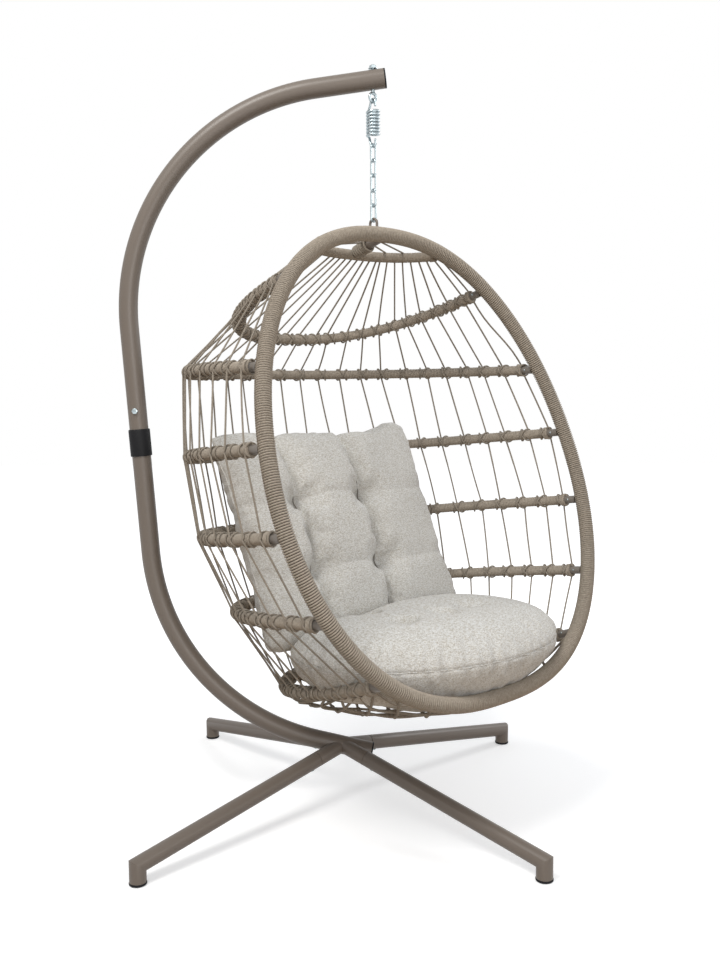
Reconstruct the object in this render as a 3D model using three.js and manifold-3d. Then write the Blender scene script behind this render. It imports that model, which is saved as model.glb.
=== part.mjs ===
// Hanging egg chair: a C-shaped stand on four legs, a spring and chain, and an egg-shaped
// basket of steel hoops laced with cord, with a seat cushion and a back cushion.
// Millimetres, +Z up. The stand opens towards -Y and its plane of symmetry is X = 0.

import * as THREE from 'three';
import { mergeVertices } from 'three/addons/utils/BufferGeometryUtils.js';
import Module from 'manifold-3d';

const wasm = await Module();
wasm.setup();

// ---------------------------------------------------------------- driving dimensions

const GAP = 0.3;                    // clearance between pieces that touch
const overshoot = 5;                // how far a cutting tool runs past what it cuts

// stand
const mastRadius = 25;              // both halves of the C tube
const mastWall = 2;
const mastBend = 575;               // radius of the lower and of the upper bend
const mastRise = 12.7;              // degrees, climb of the tube where it leaves the hub
const mastLean = 4;                 // degrees, lean of the straight middle towards the back
const mastDroop = 7.2;              // degrees, climb of the top arm towards its end
const heelLength = 152;             // straight tube from the lower end to the first bend
const backLength = 604;             // straight middle
const armLength = 181;              // straight tube at the top
const heelY = -61;                  // lower end of the C tube
const heelZ = 137;
const splitLength = 298;            // from the lower bend up to the joint of the two halves
const spigotLength = 190;           // sleeve inside the joint
const spigotWall = 3;
const collarHeight = 72;
const collarRadius = 28.5;
const collarChamfer = 1.5;
const jointBoltRise = 85;           // joint bolt above the split
const jointBoltRadius = 4;
const hexRadius = 8;                // across corners, halved, of every hex head
const hexHeight = 5;
const jointBoltEnd = 4;             // thread showing past the nut
const endCapLip = 4;
const endCapChamfer = 1;
const endCapPlug = 14;
const capPlugRoom = 2;              // between a cap's plug and its tube

// legs
const legRadius = 20;
const legWall = 2;
const hubReach = 81;                // hub centre along the tube from its lower end
const stubLength = 95;              // welded stub, from the hub centre
const stubSpigot = 60;              // how far the stub reaches into its leg
const footRearX = 480;
const footRearY = 465;
const footFrontX = 444;
const footFrontY = -469;
const ankleZ = 44;                  // where a leg turns down
const footCapHeight = 6;
const footCapRadius = 21;
const footCapPlug = 16;
const footCapChamfer = 1;
const legBoltRadius = 3;
const legBoltHead = 7;
const legBoltHeadHeight = 3;
const legBoltReach = 24;            // leg bolt outside the seam

// hanging gear
const hangY = -75;                  // vertical line that the basket hangs on
const swivelAngle = -45.8;          // degrees, how the basket is turned in the photograph
const eyeBoltShank = 5;
const eyeBoltLoop = 11;             // centre line radius
const eyeBoltWire = 4;
const eyeBoltNeck = 4;              // between the eye and the arm
const eyeBoltRoot = 3;              // how far the shank runs into the eye
const eyeBoltEnd = 2;               // thread showing past the nut
const eyeNutRadius = 9.5;
const eyeNutHeight = 7;
const washerRadius = 12;
const washerHeight = 2;
const springCoils = 8;
const springPitch = 8.3;
const springRadius = 15.6;          // centre line radius
const springWire = 3.2;
const hookRadius = 9;
const hookRise = 14;                // straight legs of a hook
const hookNeck = 4;                 // between a hook's leg and the first curl
const hookTipLength = 7.7;          // wire past the hook's bend, on its open side
const hookTipLean = 0.9;            // how far that tip leans in
const hookStep = 2.5;               // how far the leg steps out to meet the curls
const hookStepDrop = 7;
const linkCount = 5;
const linkWire = 2.8;
const linkPitch = 39;
const linkHalfWidth = 8;            // centre line
const basketEyeRadius = 13;
const basketEyeWire = 3.6;
const basketEyeFoot = 20;           // leg of the eye below the top of the bar, before it is cut to fit

// basket: front ring; its heights, the hoops' and the cushions' are from the ring's widest place
const ringHang = 40.3;              // top of the ring below the lowest pivot of the chain
const ringRadius = 20;              // steel tube with its cord wrapping
const ringHalfWidth = 536;
const ringTopRise = 616;
const ringBottomDrop = 515;
const ringTopPower = 0.867;
const ringBottomPower = 0.782;
const ringLean = 0.347;             // the top leans back by this slope
const ringForward = 46;             // ring top in front of the hanging line

// basket: hoops, top to bottom; a hoop's back is lower than its ends by its drop
const hoopRadius = 14;
const hoopPower = 2.44;             // how square a hoop is
const topHoopInset = 33.4;          // below the ring's top
const bottomHoopInset = 92;         // above the ring's lowest place
const topHoop = { rise: ringTopRise - topHoopInset, depth: 143, drop: 3, bend: 1 };
const sideHoops = [
  { rise: 493, depth: 450, drop: 128, bend: 1 },
  { rise: 272, depth: 650, drop: 8, bend: 1 },
  { rise: 95, depth: 665, drop: 65, bend: 1 },
  { rise: -93, depth: 680, drop: 86, bend: 1 },
  { rise: -280, depth: 669, drop: 91, bend: 1 },
];
const bottomHoop = { rise: bottomHoopInset - ringBottomDrop, depth: 618, drop: 148, bend: 1.47 };
const topBarRadius = 11;            // tube from the ring top to the top hoop
const wrapCord = 3;                 // cord wound on the top bar
const wrapTurns = 6;
const wrapPitch = 6.9;
const wrapEnd = 2;                  // from the last turn to the top hoop

// basket: cords
const cordRadius = 2.5;
const cordStrands = 27;             // upright cords in each panel
const cordMargin = 0.034;            // share of a hoop before its first cord and after its last
const cordLift = 24;                // degrees, where a cord passes on the hoop's outside
const cordPads = [2.9, 1.5, 1.35, 1.4, 1.15, 1.05];  // let the straight runs clear the curved hoops
const netRope = 3;
const netSpan = 0.93;               // share of the bottom hoop's width that carries the net
const netColumns = 12;              // half diamonds across
const netRows = 10;                 // half diamonds front to back
const netSag = 68;                  // how far the net hangs under its rim

// cushions
const backSideRoom = 182;           // between the back cushion's side and the ring's widest place
const backHalfHeight = 290;
const backFront = 88;               // half thickness before the tufts pull it in
const backRear = 96;
const backLean = 24;                // degrees
const backCentre = { y: 134, rise: -168.8 };
const seatSideRoom = 161;           // between the seat cushion's side and the ring's widest place
const seatHalfDepth = 306;
const seatCrown = 86;
const seatBelly = 175;
const seatPress = 0.85;             // share of the crown that the back cushion presses flat
const seatTilt = 3;                 // degrees, down to the back
const seatCentre = { x: 10, y: -180, rise: -428.4 };
const tuftPlace = 1 / 3;
const tuck = 0.06;                  // share by which the back cushion's sides are drawn in

// ---------------------------------------------------------------- materials

const finishes = {
  paint: { color: 0x857c74, roughness: 0.55, metalness: 0.2 },
  cord: { color: 0x93897b, roughness: 0.9, metalness: 0 },
  zinc: { color: 0xc9ced0, roughness: 0.3, metalness: 0.9 },
  plastic: { color: 0x17171a, roughness: 0.5, metalness: 0 },
  cloth: { color: 0xc4c2bd, roughness: 1, metalness: 0 },
};

function piece(name, geometry, finish, parent) {
  const mesh = new THREE.Mesh(geometry, new THREE.MeshStandardMaterial(finishes[finish]));
  mesh.name = name;
  parent.add(mesh);
  return mesh;
}

// ---------------------------------------------------------------- geometry helpers

const rad = THREE.MathUtils.degToRad;
const V = (x, y, z) => new THREE.Vector3(x, y, z);

// A closed solid as a manifold, and back.
function solid(geometry) {
  const bare = geometry.clone();
  for (const name of ['normal', 'uv']) bare.deleteAttribute(name);
  const merged = mergeVertices(bare, 1e-4);
  return new wasm.Manifold(new wasm.Mesh({
    numProp: 3,
    vertProperties: new Float32Array(merged.attributes.position.array),
    triVerts: new Uint32Array(merged.index.array),
  }));
}

function fromSolid(body) {
  const mesh = body.getMesh();
  const geometry = new THREE.BufferGeometry();
  geometry.setAttribute('position', new THREE.BufferAttribute(new Float32Array(mesh.vertProperties), 3));
  geometry.setIndex(new THREE.BufferAttribute(new Uint32Array(mesh.triVerts), 1));
  return geometry;
}

function cut(geometry, ...tools) {
  return fromSolid(tools.reduce((body, tool) => body.subtract(solid(tool)), solid(geometry)));
}

function join(...geometries) {
  return fromSolid(geometries.map(solid).reduce((body, other) => body.add(other)));
}

function polygon(radius, sides) {
  return Array.from({ length: sides }, (_, i) => {
    const a = 2 * Math.PI * i / sides;
    return new THREE.Vector2(radius * Math.cos(a), radius * Math.sin(a));
  });
}

// A tube along a smooth open curve, hollow when a bore radius is given.
function tube(curve, radius, sides, steps, bore = 0) {
  const section = new THREE.Shape(polygon(radius, sides));
  if (bore > 0) section.holes.push(new THREE.Path(polygon(bore, sides)));
  return new THREE.ExtrudeGeometry(section, { steps, extrudePath: curve });
}

// A closed skin over rings of points, joined ring to ring; the ends are closed or meet.
function skin(rings, meets) {
  const sides = rings[0].length;
  const count = rings.length;
  const positions = rings.flat().flatMap((p) => [p.x, p.y, p.z]);
  const faces = [];
  for (let i = 0; i < (meets ? count : count - 1); i++) {
    const here = i * sides;
    const next = ((i + 1) % count) * sides;
    for (let j = 0; j < sides; j++) {
      const k = (j + 1) % sides;
      faces.push(here + j, here + k, next + k, here + j, next + k, next + j);
    }
  }
  if (!meets) {
    for (let j = 1; j < sides - 1; j++) {
      faces.push(0, j + 1, j);
      const last = (count - 1) * sides;
      faces.push(last, last + j, last + j + 1);
    }
  }
  const geometry = new THREE.BufferGeometry();
  geometry.setAttribute('position', new THREE.Float32BufferAttribute(positions, 3));
  geometry.setIndex(faces);
  return geometry;
}

// A rod along straight runs, its corners mitred; closed joins the last point to the first.
function rod(points, radius, sides, closed = false) {
  const count = points.length;
  const along = (i) => points[(i + 1) % count].clone().sub(points[i]).normalize();
  const first = along(0);
  const helper = Math.abs(first.z) < 0.9 ? V(0, 0, 1) : V(1, 0, 0);
  const u = helper.cross(first).normalize();
  const v = first.clone().cross(u);
  let offsets = polygon(radius, sides).map((p) => u.clone().multiplyScalar(p.x).addScaledVector(v, p.y));
  const mitre = (i, before, after) => {
    const plane = before.clone().add(after).normalize();
    const spread = offsets.map((o) => o.clone().addScaledVector(before, -o.dot(plane) / before.dot(plane)));
    offsets = spread.map((o) => o.clone().addScaledVector(after, -o.dot(after)));
    return spread.map((o) => o.add(points[i]));
  };
  const rings = [];
  if (!closed) rings.push(offsets.map((o) => o.clone().add(points[0])));
  for (let i = 1; i < (closed ? count + 1 : count - 1); i++) {
    rings.push(mitre(i % count, along(i - 1), along(i % count)));
  }
  if (!closed) rings.push(offsets.map((o) => o.clone().add(points[count - 1])));
  return skin(rings, closed);
}

// A turned piece about +Z from radius and height pairs, standing at a point, along a direction.
function turned(profile, at, direction = V(0, 0, 1), sides = 16) {
  const geometry = new THREE.LatheGeometry(profile.map(([r, z]) => new THREE.Vector2(r, z)), sides);
  const turn = new THREE.Quaternion().setFromUnitVectors(V(0, 1, 0), direction.clone().normalize());
  return geometry.applyQuaternion(turn).translate(at.x, at.y, at.z);
}

function disc(radius, height, at, direction, sides) {
  return turned([[0, 0], [radius, 0], [radius, height], [0, height]], at, direction, sides);
}

function circle(radius, centre, u, v, sides) {
  return Array.from({ length: sides }, (_, i) => {
    const a = 2 * Math.PI * i / sides;
    return centre.clone().addScaledVector(u, radius * Math.cos(a)).addScaledVector(v, radius * Math.sin(a));
  });
}

// ---------------------------------------------------------------- stand

const heading = (degrees) => V(0, Math.cos(rad(degrees)), Math.sin(rad(degrees)));

// An arc in the plane X = 0 that leaves a point at one heading and ends at another.
class MastBend extends THREE.Curve {
  constructor(start, from, to, radius) {
    super();
    Object.assign(this, { start, from, to, radius });
    this.centre = start.clone().addScaledVector(heading(from + 90), radius);
  }
  getPoint(t, target = V(0, 0, 0)) {
    const angle = this.from + (this.to - this.from) * t;
    return target.copy(this.centre).addScaledVector(heading(angle - 90), this.radius);
  }
}

const backHeading = 90 - mastLean;
const armHeading = 180 - mastDroop;
const heel = V(0, heelY, heelZ);
const heelEnd = heel.clone().addScaledVector(heading(mastRise), heelLength);
const lowerBend = new MastBend(heelEnd, mastRise, backHeading, mastBend);
const backStart = lowerBend.getPoint(1);
const split = backStart.clone().addScaledVector(heading(backHeading), splitLength);
const backEnd = backStart.clone().addScaledVector(heading(backHeading), backLength);
const upperBend = new MastBend(backEnd, backHeading, armHeading, mastBend);
const armStart = upperBend.getPoint(1);
const armEnd = armStart.clone().addScaledVector(heading(armHeading), armLength);
const upBack = heading(backHeading);

function path(...curves) {
  const whole = new THREE.CurvePath();
  curves.forEach((curve) => whole.add(curve));
  return whole;
}

const chair = new THREE.Group();
const stand = new THREE.Group();
chair.add(stand);

const mastBore = mastRadius - mastWall;
const tubeSides = 12;
const flat = Math.cos(Math.PI / tubeSides);         // flats of a tube against its corners
const mastSteps = 16;
const splitAbove = split.clone().addScaledVector(upBack, GAP);
const lowerPath = path(new THREE.LineCurve3(heel, heelEnd), lowerBend, new THREE.LineCurve3(backStart, split));
const upperPath = path(new THREE.LineCurve3(splitAbove, backEnd), upperBend,
  new THREE.LineCurve3(armStart, armEnd));

const hub = heel.clone().addScaledVector(heading(mastRise), hubReach);
const feet = [
  { name: 'rear_left', x: -footRearX, y: footRearY },
  { name: 'rear_right', x: footRearX, y: footRearY },
  { name: 'front_left', x: -footFrontX, y: footFrontY },
  { name: 'front_right', x: footFrontX, y: footFrontY },
];
const legPlace = (foot) => {
  const ankle = V(foot.x, foot.y, ankleZ);
  const along = ankle.clone().sub(hub).normalize();
  return { ankle, along, seam: hub.clone().addScaledVector(along, stubLength) };
};
const legBore = legRadius - legWall;
const spigotRadius = legBore * flat - GAP;

// The lower half of the C with the four stubs welded to it, each ending in a spigot.
function lowerMast() {
  const boreStart = heel.clone().addScaledVector(heading(mastRise), -overshoot);
  const boreEnd = split.clone().addScaledVector(upBack, overshoot);
  const borePath = path(new THREE.LineCurve3(boreStart, heelEnd), lowerBend,
    new THREE.LineCurve3(backStart, boreEnd));
  const bore = tube(borePath, mastBore, tubeSides, mastSteps);
  const outside = tube(lowerPath, mastRadius, tubeSides, mastSteps);
  const stubs = feet.map((foot) => {
    const { along } = legPlace(foot);
    return turned([[0, 0], [legRadius, 0], [legRadius, stubLength], [spigotRadius, stubLength],
      [spigotRadius, stubLength + stubSpigot], [0, stubLength + stubSpigot]], hub, along, 12);
  });
  const bolts = feet.map((foot) => legBoltAt(foot, GAP).geometry);
  return cut(join(outside, ...stubs), bore, ...bolts);
}

// A screw up through the leg's underside into the stub's spigot.
function legBoltAt(foot, extra) {
  const { along, seam } = legPlace(foot);
  const side = along.clone().cross(V(0, 0, 1)).normalize();
  const up = side.clone().cross(along).normalize();
  const start = seam.clone().addScaledVector(along, legBoltReach)
    .addScaledVector(up, -(legRadius + GAP + legBoltHeadHeight));
  const shank = legBoltRadius + extra;
  const head = legBoltHead + extra;
  const seat = legBoltHeadHeight + extra;
  const end = legRadius + legBoltHeadHeight + extra;
  const profile = [[0, -extra], [head, -extra], [head, seat], [shank, seat], [shank, end], [0, end]];
  return { geometry: turned(profile, start, up, 12), up, start };
}

piece('lower_c_tube', lowerMast(), 'paint', stand);

const jointBoltPlace = split.clone().addScaledVector(upBack, jointBoltRise);
const boltHoleReach = mastRadius + hexHeight + 2 * overshoot;
const boltHole = (extra) => disc(jointBoltRadius + extra, 2 * boltHoleReach,
  jointBoltPlace.clone().add(V(-boltHoleReach, 0, 0)), V(1, 0, 0), 12);

const armAt = (y) => {
  const t = (y - armStart.y) / (armEnd.y - armStart.y);
  return armStart.clone().lerp(armEnd, t);
};
const armOverHang = armAt(hangY);
const armTopZ = armOverHang.z + mastRadius / Math.cos(rad(mastDroop));
const armUnderZ = armOverHang.z - mastRadius / Math.cos(rad(mastDroop));
const eyeHole = disc((eyeBoltShank + GAP) / flat, 4 * mastRadius,
  V(0, hangY, armOverHang.z - 2 * mastRadius), V(0, 0, 1), 12);
const upperTube = tube(upperPath, mastRadius, tubeSides, mastSteps, mastBore);
piece('upper_c_tube', cut(upperTube, boltHole(GAP), eyeHole), 'paint', stand);

const sleeveStart = split.clone().addScaledVector(upBack, -spigotLength / 3);
const sleeveEnd = split.clone().addScaledVector(upBack, spigotLength * 2 / 3);
const sleeveRadius = mastBore * flat - GAP;
const sleeveBore = sleeveRadius - spigotWall;
const sleeve = tube(new THREE.LineCurve3(sleeveStart, sleeveEnd), sleeveRadius, tubeSides, 1, sleeveBore);
piece('joint_sleeve', cut(sleeve, boltHole(GAP)), 'zinc', stand);

const collarSides = 24;
const collarHole = (mastRadius + GAP) / Math.cos(Math.PI / collarSides);
piece('joint_collar', turned([[collarHole, 0], [collarRadius, 0],
  [collarRadius, collarHeight - 2 * collarChamfer], [collarRadius - collarChamfer, collarHeight],
  [collarHole, collarHeight], [collarHole, 0]],
split.clone().addScaledVector(upBack, -collarHeight / 2), upBack, collarSides), 'plastic', stand);

// Hex bolt through the joint, head towards -X, nut towards +X.
const boltSeat = mastRadius + GAP;
const boltHeadStart = jointBoltPlace.clone().add(V(-boltSeat - hexHeight, 0, 0));
const boltHead = disc(hexRadius, hexHeight, boltHeadStart, V(1, 0, 0), 6);
const boltShankStart = jointBoltPlace.clone().add(V(-boltSeat - hexHeight / 2, 0, 0));
const boltShankLength = 2 * boltSeat + 1.5 * hexHeight + jointBoltEnd;
const boltShank = disc(jointBoltRadius, boltShankLength, boltShankStart, V(1, 0, 0), 12);
const boltNut = disc(hexRadius, hexHeight, jointBoltPlace.clone().add(V(boltSeat, 0, 0)), V(1, 0, 0), 6);
piece('joint_bolt', join(boltHead, boltShank), 'zinc', stand);
piece('joint_nut', cut(boltNut, boltHole(GAP)), 'zinc', stand);

const endCapPlugRadius = mastBore - capPlugRoom;
const endCap = (at, direction) => turned([[0, -endCapPlug], [endCapPlugRadius, -endCapPlug],
  [endCapPlugRadius, GAP], [mastRadius, GAP], [mastRadius, endCapLip - endCapChamfer],
  [mastRadius - endCapChamfer, endCapLip], [0, endCapLip]], at, direction, 12);
piece('top_end_cap', endCap(armEnd, heading(armHeading)), 'plastic', stand);
piece('lower_end_cap', endCap(heel, heading(mastRise + 180)), 'plastic', stand);

for (const foot of feet) {
  const { ankle, along, seam } = legPlace(foot);
  const start = seam.clone().addScaledVector(along, GAP);
  const sole = V(foot.x, foot.y, footCapHeight + GAP);
  const outside = rod([start, ankle, sole], legRadius, 12);
  const boreStart = start.clone().addScaledVector(along, -overshoot);
  const inside = rod([boreStart, ankle, sole.clone().add(V(0, 0, -overshoot))], legBore, 12);
  const bolt = legBoltAt(foot, 0);
  piece(`leg_${foot.name}`, cut(outside, inside, legBoltAt(foot, GAP).geometry), 'paint', stand);
  piece(`leg_bolt_${foot.name}`, bolt.geometry, 'zinc', stand);
  const plug = legBore - capPlugRoom;
  const cap = turned([[0, 0], [footCapRadius - footCapChamfer, 0], [footCapRadius, footCapChamfer],
    [footCapRadius, footCapHeight], [plug, footCapHeight], [plug, footCapHeight + footCapPlug],
    [0, footCapHeight + footCapPlug]], V(foot.x, foot.y, 0), V(0, 0, 1), 16);
  piece(`foot_cap_${foot.name}`, cap, 'plastic', stand);
}

// ---------------------------------------------------------------- hanging gear

const basket = new THREE.Group();
basket.position.set(0, hangY, 0);
basket.rotation.z = rad(swivelAngle);
chair.add(basket);

const X = V(1, 0, 0);
const Y = V(0, 1, 0);
const Z = V(0, 0, 1);

// Eye bolt through the arm: its eye lies in the XZ plane of the basket.
const eyeCentreZ = armUnderZ - GAP - eyeBoltNeck - eyeBoltLoop - eyeBoltWire;
const eyeTopZ = eyeCentreZ + eyeBoltLoop + eyeBoltWire;
const washerTilt = washerRadius * Math.tan(rad(mastDroop));
const nutZ = armTopZ + washerTilt + GAP + washerHeight;
const shankTop = nutZ + eyeNutHeight + eyeBoltEnd;
const shankFoot = eyeTopZ - eyeBoltRoot;
const eyeRing = rod(circle(eyeBoltLoop, V(0, 0, eyeCentreZ), X, Z, 16), eyeBoltWire, 8, true);
const eyeShank = disc(eyeBoltShank, shankTop - shankFoot, V(0, 0, shankFoot), Z, 12);
piece('eye_bolt', join(eyeRing, eyeShank), 'zinc', basket);
const washer = disc(washerRadius, washerHeight, V(0, 0, nutZ - washerHeight), Z, 16);
const eyeNut = disc(eyeNutRadius, washerHeight / 2 + eyeNutHeight, V(0, 0, nutZ - washerHeight / 2), Z, 6);
const shankHole = disc((eyeBoltShank + GAP) / flat, washerHeight + eyeNutHeight + 2 * overshoot,
  V(0, 0, nutZ - washerHeight - overshoot), Z, 12);
piece('eye_bolt_nut', cut(join(washer, eyeNut), shankHole), 'zinc', basket);

// Spring of one wire: hook, curls, hook. Both hooks lie in the YZ plane.
const topHookZ = eyeCentreZ - eyeBoltLoop + eyeBoltWire + GAP + springWire;
const coilTop = topHookZ - hookRadius - hookRise - hookNeck;
const coilBottom = coilTop - springCoils * springPitch;
const lowHookZ = coilBottom - hookNeck - hookRise - hookRadius;

function hookPoints(apexZ, up) {
  const centre = apexZ - up * hookRadius;
  const arc = [-90, -60, -30, 0, 30, 60, 90].map((a) => (
    V(0, hookRadius * Math.sin(rad(a)), centre + up * hookRadius * Math.cos(rad(a)))));
  const tip = V(0, hookTipLean - hookRadius, centre - up * hookTipLength);
  return [tip, ...arc, V(0, hookRadius + hookStep, centre - up * hookStepDrop)];
}

function springPoints() {
  const curls = Array.from({ length: springCoils * 8 + 1 }, (_, i) => {
    const a = 2 * Math.PI * i / 8;
    return V(springRadius * Math.sin(a), springRadius * Math.cos(a), coilTop - springPitch * i / 8);
  });
  return [...hookPoints(topHookZ, 1), ...curls, ...hookPoints(lowHookZ, -1).reverse()];
}

// Least distance between the surfaces of one wire where it passes itself.
function leastGap(points, wire, apart) {
  let least = Infinity;
  points.forEach((p, i) => points.forEach((q, j) => {
    if (j - i >= apart) least = Math.min(least, p.distanceTo(q) - 2 * wire);
  }));
  return least;
}

const springLine = springPoints();
console.log('spring wire: least gap to itself', leastGap(springLine, springWire, 6).toFixed(2), 'mm');
piece('hanging_spring', rod(springLine, springWire, 5), 'zinc', basket);

// Chain: links alternate between the XZ and the YZ plane of the basket.
function linkPoints(centreZ, across) {
  const straight = (linkPitch + 2 * linkWire) / 2 - linkHalfWidth;
  const arc = (sign) => [0, 45, 90, 135, 180].map((a) => V(0, 0, centreZ + sign * straight)
    .addScaledVector(across, sign * linkHalfWidth * Math.cos(rad(a)))
    .addScaledVector(Z, sign * linkHalfWidth * Math.sin(rad(a))));
  return [...arc(1), ...arc(-1)];
}
const linkHalf = linkPitch / 2 + linkWire;          // centre of a link to its end wire
const linkSwell = linkWire / Math.cos(rad(22.5));     // a mitred corner is thicker than its wire
const hookSwell = springWire / Math.cos(rad(15));
const contact = 2 * linkSwell + GAP;                 // end wire to end wire where links meet
const linkZ = [];
for (let i = 0; i < linkCount; i++) {
  const across = i % 2 === 0 ? X : Y;
  const hungOn = i === 0 ? lowHookZ + hookSwell + 2 * GAP + linkSwell : linkZ[i - 1] - linkHalf + contact;
  linkZ.push(hungOn - linkHalf);
  piece(`chain_link_${i + 1}`, rod(linkPoints(linkZ[i], across), linkWire, 6, true), 'zinc', basket);
}
const pivots = linkZ.map((z) => z - linkHalf);

// ---------------------------------------------------------------- basket frame

const power = (value, exponent) => Math.sign(value) * Math.max(Math.abs(value), 1e-9) ** exponent;
const ringTopZ = pivots[linkCount - 1] - ringHang;
const ringMidZ = ringTopZ - ringTopRise;
const ringY = (z) => ringLean * (z - ringTopZ) - ringForward;

function ringPoint(angle) {
  const s = Math.sin(angle);
  const x = ringHalfWidth * power(Math.cos(angle), s > 0 ? ringTopPower : ringBottomPower);
  const z = ringMidZ + s * (s > 0 ? ringTopRise : ringBottomDrop);
  return V(x, ringY(z), z);
}

function ringWidthAt(z) {
  const s = (z - ringMidZ) / (z > ringMidZ ? ringTopRise : ringBottomDrop);
  return ringHalfWidth * Math.sqrt(Math.max(1 - s * s, 0)) ** (z > ringMidZ ? ringTopPower : ringBottomPower);
}

const ringSteps = 64;
const ringLine = Array.from({ length: ringSteps }, (_, i) => ringPoint(2 * Math.PI * (i + 0.5) / ringSteps));
const ringSides = 8;
const ringClear = rod(ringLine, ringRadius + GAP / Math.cos(Math.PI / ringSides), ringSides, true);
piece('front_ring', rod(ringLine, ringRadius, ringSides, true), 'cord', basket);

// A hoop runs from one side of the ring round the back to the other side.
class HoopCurve extends THREE.Curve {
  constructor(hoop) {
    super();
    this.hoop = hoop;
    this.z = ringMidZ + hoop.rise;
    this.halfWidth = ringWidthAt(this.z);
  }
  getPoint(t, target = V(0, 0, 0)) {
    const { depth, drop, bend } = this.hoop;
    const back = power(Math.sin(Math.PI * t), 2 / hoopPower);
    const x = this.halfWidth * power(Math.cos(Math.PI * t), 2 / hoopPower);
    return target.set(x, ringY(this.z) + depth * back, this.z - drop * (1 - Math.max(1 - back, 0) ** bend));
  }
}

const hoops = [topHoop, ...sideHoops, bottomHoop].map((hoop) => new HoopCurve(hoop));
const hoopNames = ['top_hoop', ...sideHoops.map((_, i) => `hoop_${i + 1}`), 'bottom_hoop'];
const hoopSteps = 20;
const hoopSides = 7;
hoops.forEach((hoop, i) => {
  const line = hoop.getSpacedPoints(hoopSteps);
  piece(hoopNames[i], cut(rod(line, hoopRadius, hoopSides), ringClear), 'cord', basket);
});

// Bar from the ring top back to the top hoop, with the basket's eye on it.
const barStart = V(0, -ringForward, ringTopZ);
const barEnd = hoops[0].getPoint(0.5);
const barAlong = barEnd.clone().sub(barStart).normalize();
const bar = rod([barStart, barEnd], topBarRadius, 12);
const hoopClearRadius = hoopRadius + GAP / Math.cos(Math.PI / hoopSides);
const topHoopClear = rod(hoops[0].getSpacedPoints(hoopSteps), hoopClearRadius, hoopSides);
piece('top_bar', cut(bar, ringClear, topHoopClear), 'paint', basket);

// Cord wound round the bar behind the eye, one unbroken tube.
const barUp = X.clone().cross(barAlong).normalize();
const barLength = barStart.distanceTo(barEnd);
const windStart = barLength - hoopRadius - wrapCord - wrapEnd - wrapTurns * wrapPitch;
const windSteps = 10;
const windRadius = (topBarRadius + wrapCord + GAP) / Math.cos(Math.PI / windSteps);
const windLine = Array.from({ length: wrapTurns * windSteps + 1 }, (_, i) => {
  const a = 2 * Math.PI * i / windSteps;
  return barStart.clone().addScaledVector(barAlong, windStart + wrapPitch * i / windSteps)
    .addScaledVector(X, windRadius * Math.cos(a)).addScaledVector(barUp, windRadius * Math.sin(a));
});
console.log('bar winding: least gap to itself', leastGap(windLine, wrapCord, 9).toFixed(2), 'mm');
piece('bar_winding', rod(windLine, wrapCord, 5), 'cord', basket);

const barTopAtHang = barStart.clone().lerp(barEnd, ringForward / (barEnd.y - barStart.y));
const eyeTopWire = pivots[linkCount - 1] + linkSwell + GAP + basketEyeWire / Math.cos(rad(15));
const eyeLoopZ = eyeTopWire - basketEyeRadius;
const barSlope = barAlong.z / barAlong.y;
const eyeFoot = (y) => barTopAtHang.z + (topBarRadius + GAP) / Math.abs(barAlong.y) + y * barSlope;
const eyeArc = [0, 30, 60, 90, 120, 150, 180].map((a) => (
  V(0, basketEyeRadius * Math.cos(rad(a)), eyeLoopZ + basketEyeRadius * Math.sin(rad(a)))));
const eyeLegs = rod([V(0, basketEyeRadius, eyeFoot(basketEyeRadius) - basketEyeFoot), ...eyeArc,
  V(0, -basketEyeRadius, eyeFoot(-basketEyeRadius) - basketEyeFoot)], basketEyeWire, 8);
const barClearStart = barStart.clone().addScaledVector(barAlong, -ringRadius);
const barClear = rod([barClearStart, barEnd], topBarRadius + GAP / Math.cos(Math.PI / 12), 12);
const belowBar = new THREE.BoxGeometry(4 * basketEyeRadius, 4 * basketEyeRadius, 4 * basketEyeRadius)
  .translate(0, 0, barTopAtHang.z - 2 * basketEyeRadius);
piece('basket_eye', cut(eyeLegs, barClear, belowBar, ringClear), 'paint', basket);

// ---------------------------------------------------------------- cords

// One cord laced up and down between two hoops, passing on the outside of both.
function panel(upper, lower, pad) {
  const place = (hoop, t, side) => {
    const along = hoop.getTangentAt(t).setZ(0).normalize();
    const out = V(along.y, -along.x, 0).multiplyScalar(-1);
    const reach = hoopRadius + cordRadius + pad;
    return hoop.getPointAt(t).addScaledVector(out, -reach * Math.cos(rad(cordLift)))
      .addScaledVector(Z, side * reach * Math.sin(rad(cordLift)));
  };
  const points = [];
  for (let k = 0; k < cordStrands; k++) {
    const t = cordMargin + (1 - 2 * cordMargin) * k / (cordStrands - 1);
    const ends = [place(upper, t, -1), place(lower, t, 1)];
    points.push(...(k % 2 === 0 ? ends : ends.reverse()));
  }
  return rod(points, cordRadius, 4);
}
for (let i = 0; i < hoops.length - 1; i++) {
  piece(`cord_panel_${i + 1}`, panel(hoops[i], hoops[i + 1], cordPads[i]), 'cord', basket);
}

// Diamond net under the seat, between the ring's lowest part and the bottom hoop.
const rimReach = ringWidthAt(ringMidZ + bottomHoop.rise);
function netPoint(u, v) {
  const x = rimReach * netSpan * u;
  const t = Math.acos(Math.sign(u) * Math.abs(netSpan * u) ** (hoopPower / 2)) / Math.PI;
  const rear = hoops[hoops.length - 1].getPoint(t);
  const s = -Math.sqrt(Math.max(1 - (Math.abs(x) / ringHalfWidth) ** (2 / ringBottomPower), 0));
  const frontZ = ringMidZ + s * ringBottomDrop;
  const front = V(x, ringY(frontZ) + ringRadius + GAP, frontZ + netRope);
  rear.add(V(0, 0, -hoopRadius * 1.05 - GAP));
  return front.lerp(rear, v).setX(x).add(V(0, 0, -netSag * (1 - u * u) * (4 * v * (1 - v)) ** 0.6));
}

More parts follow.
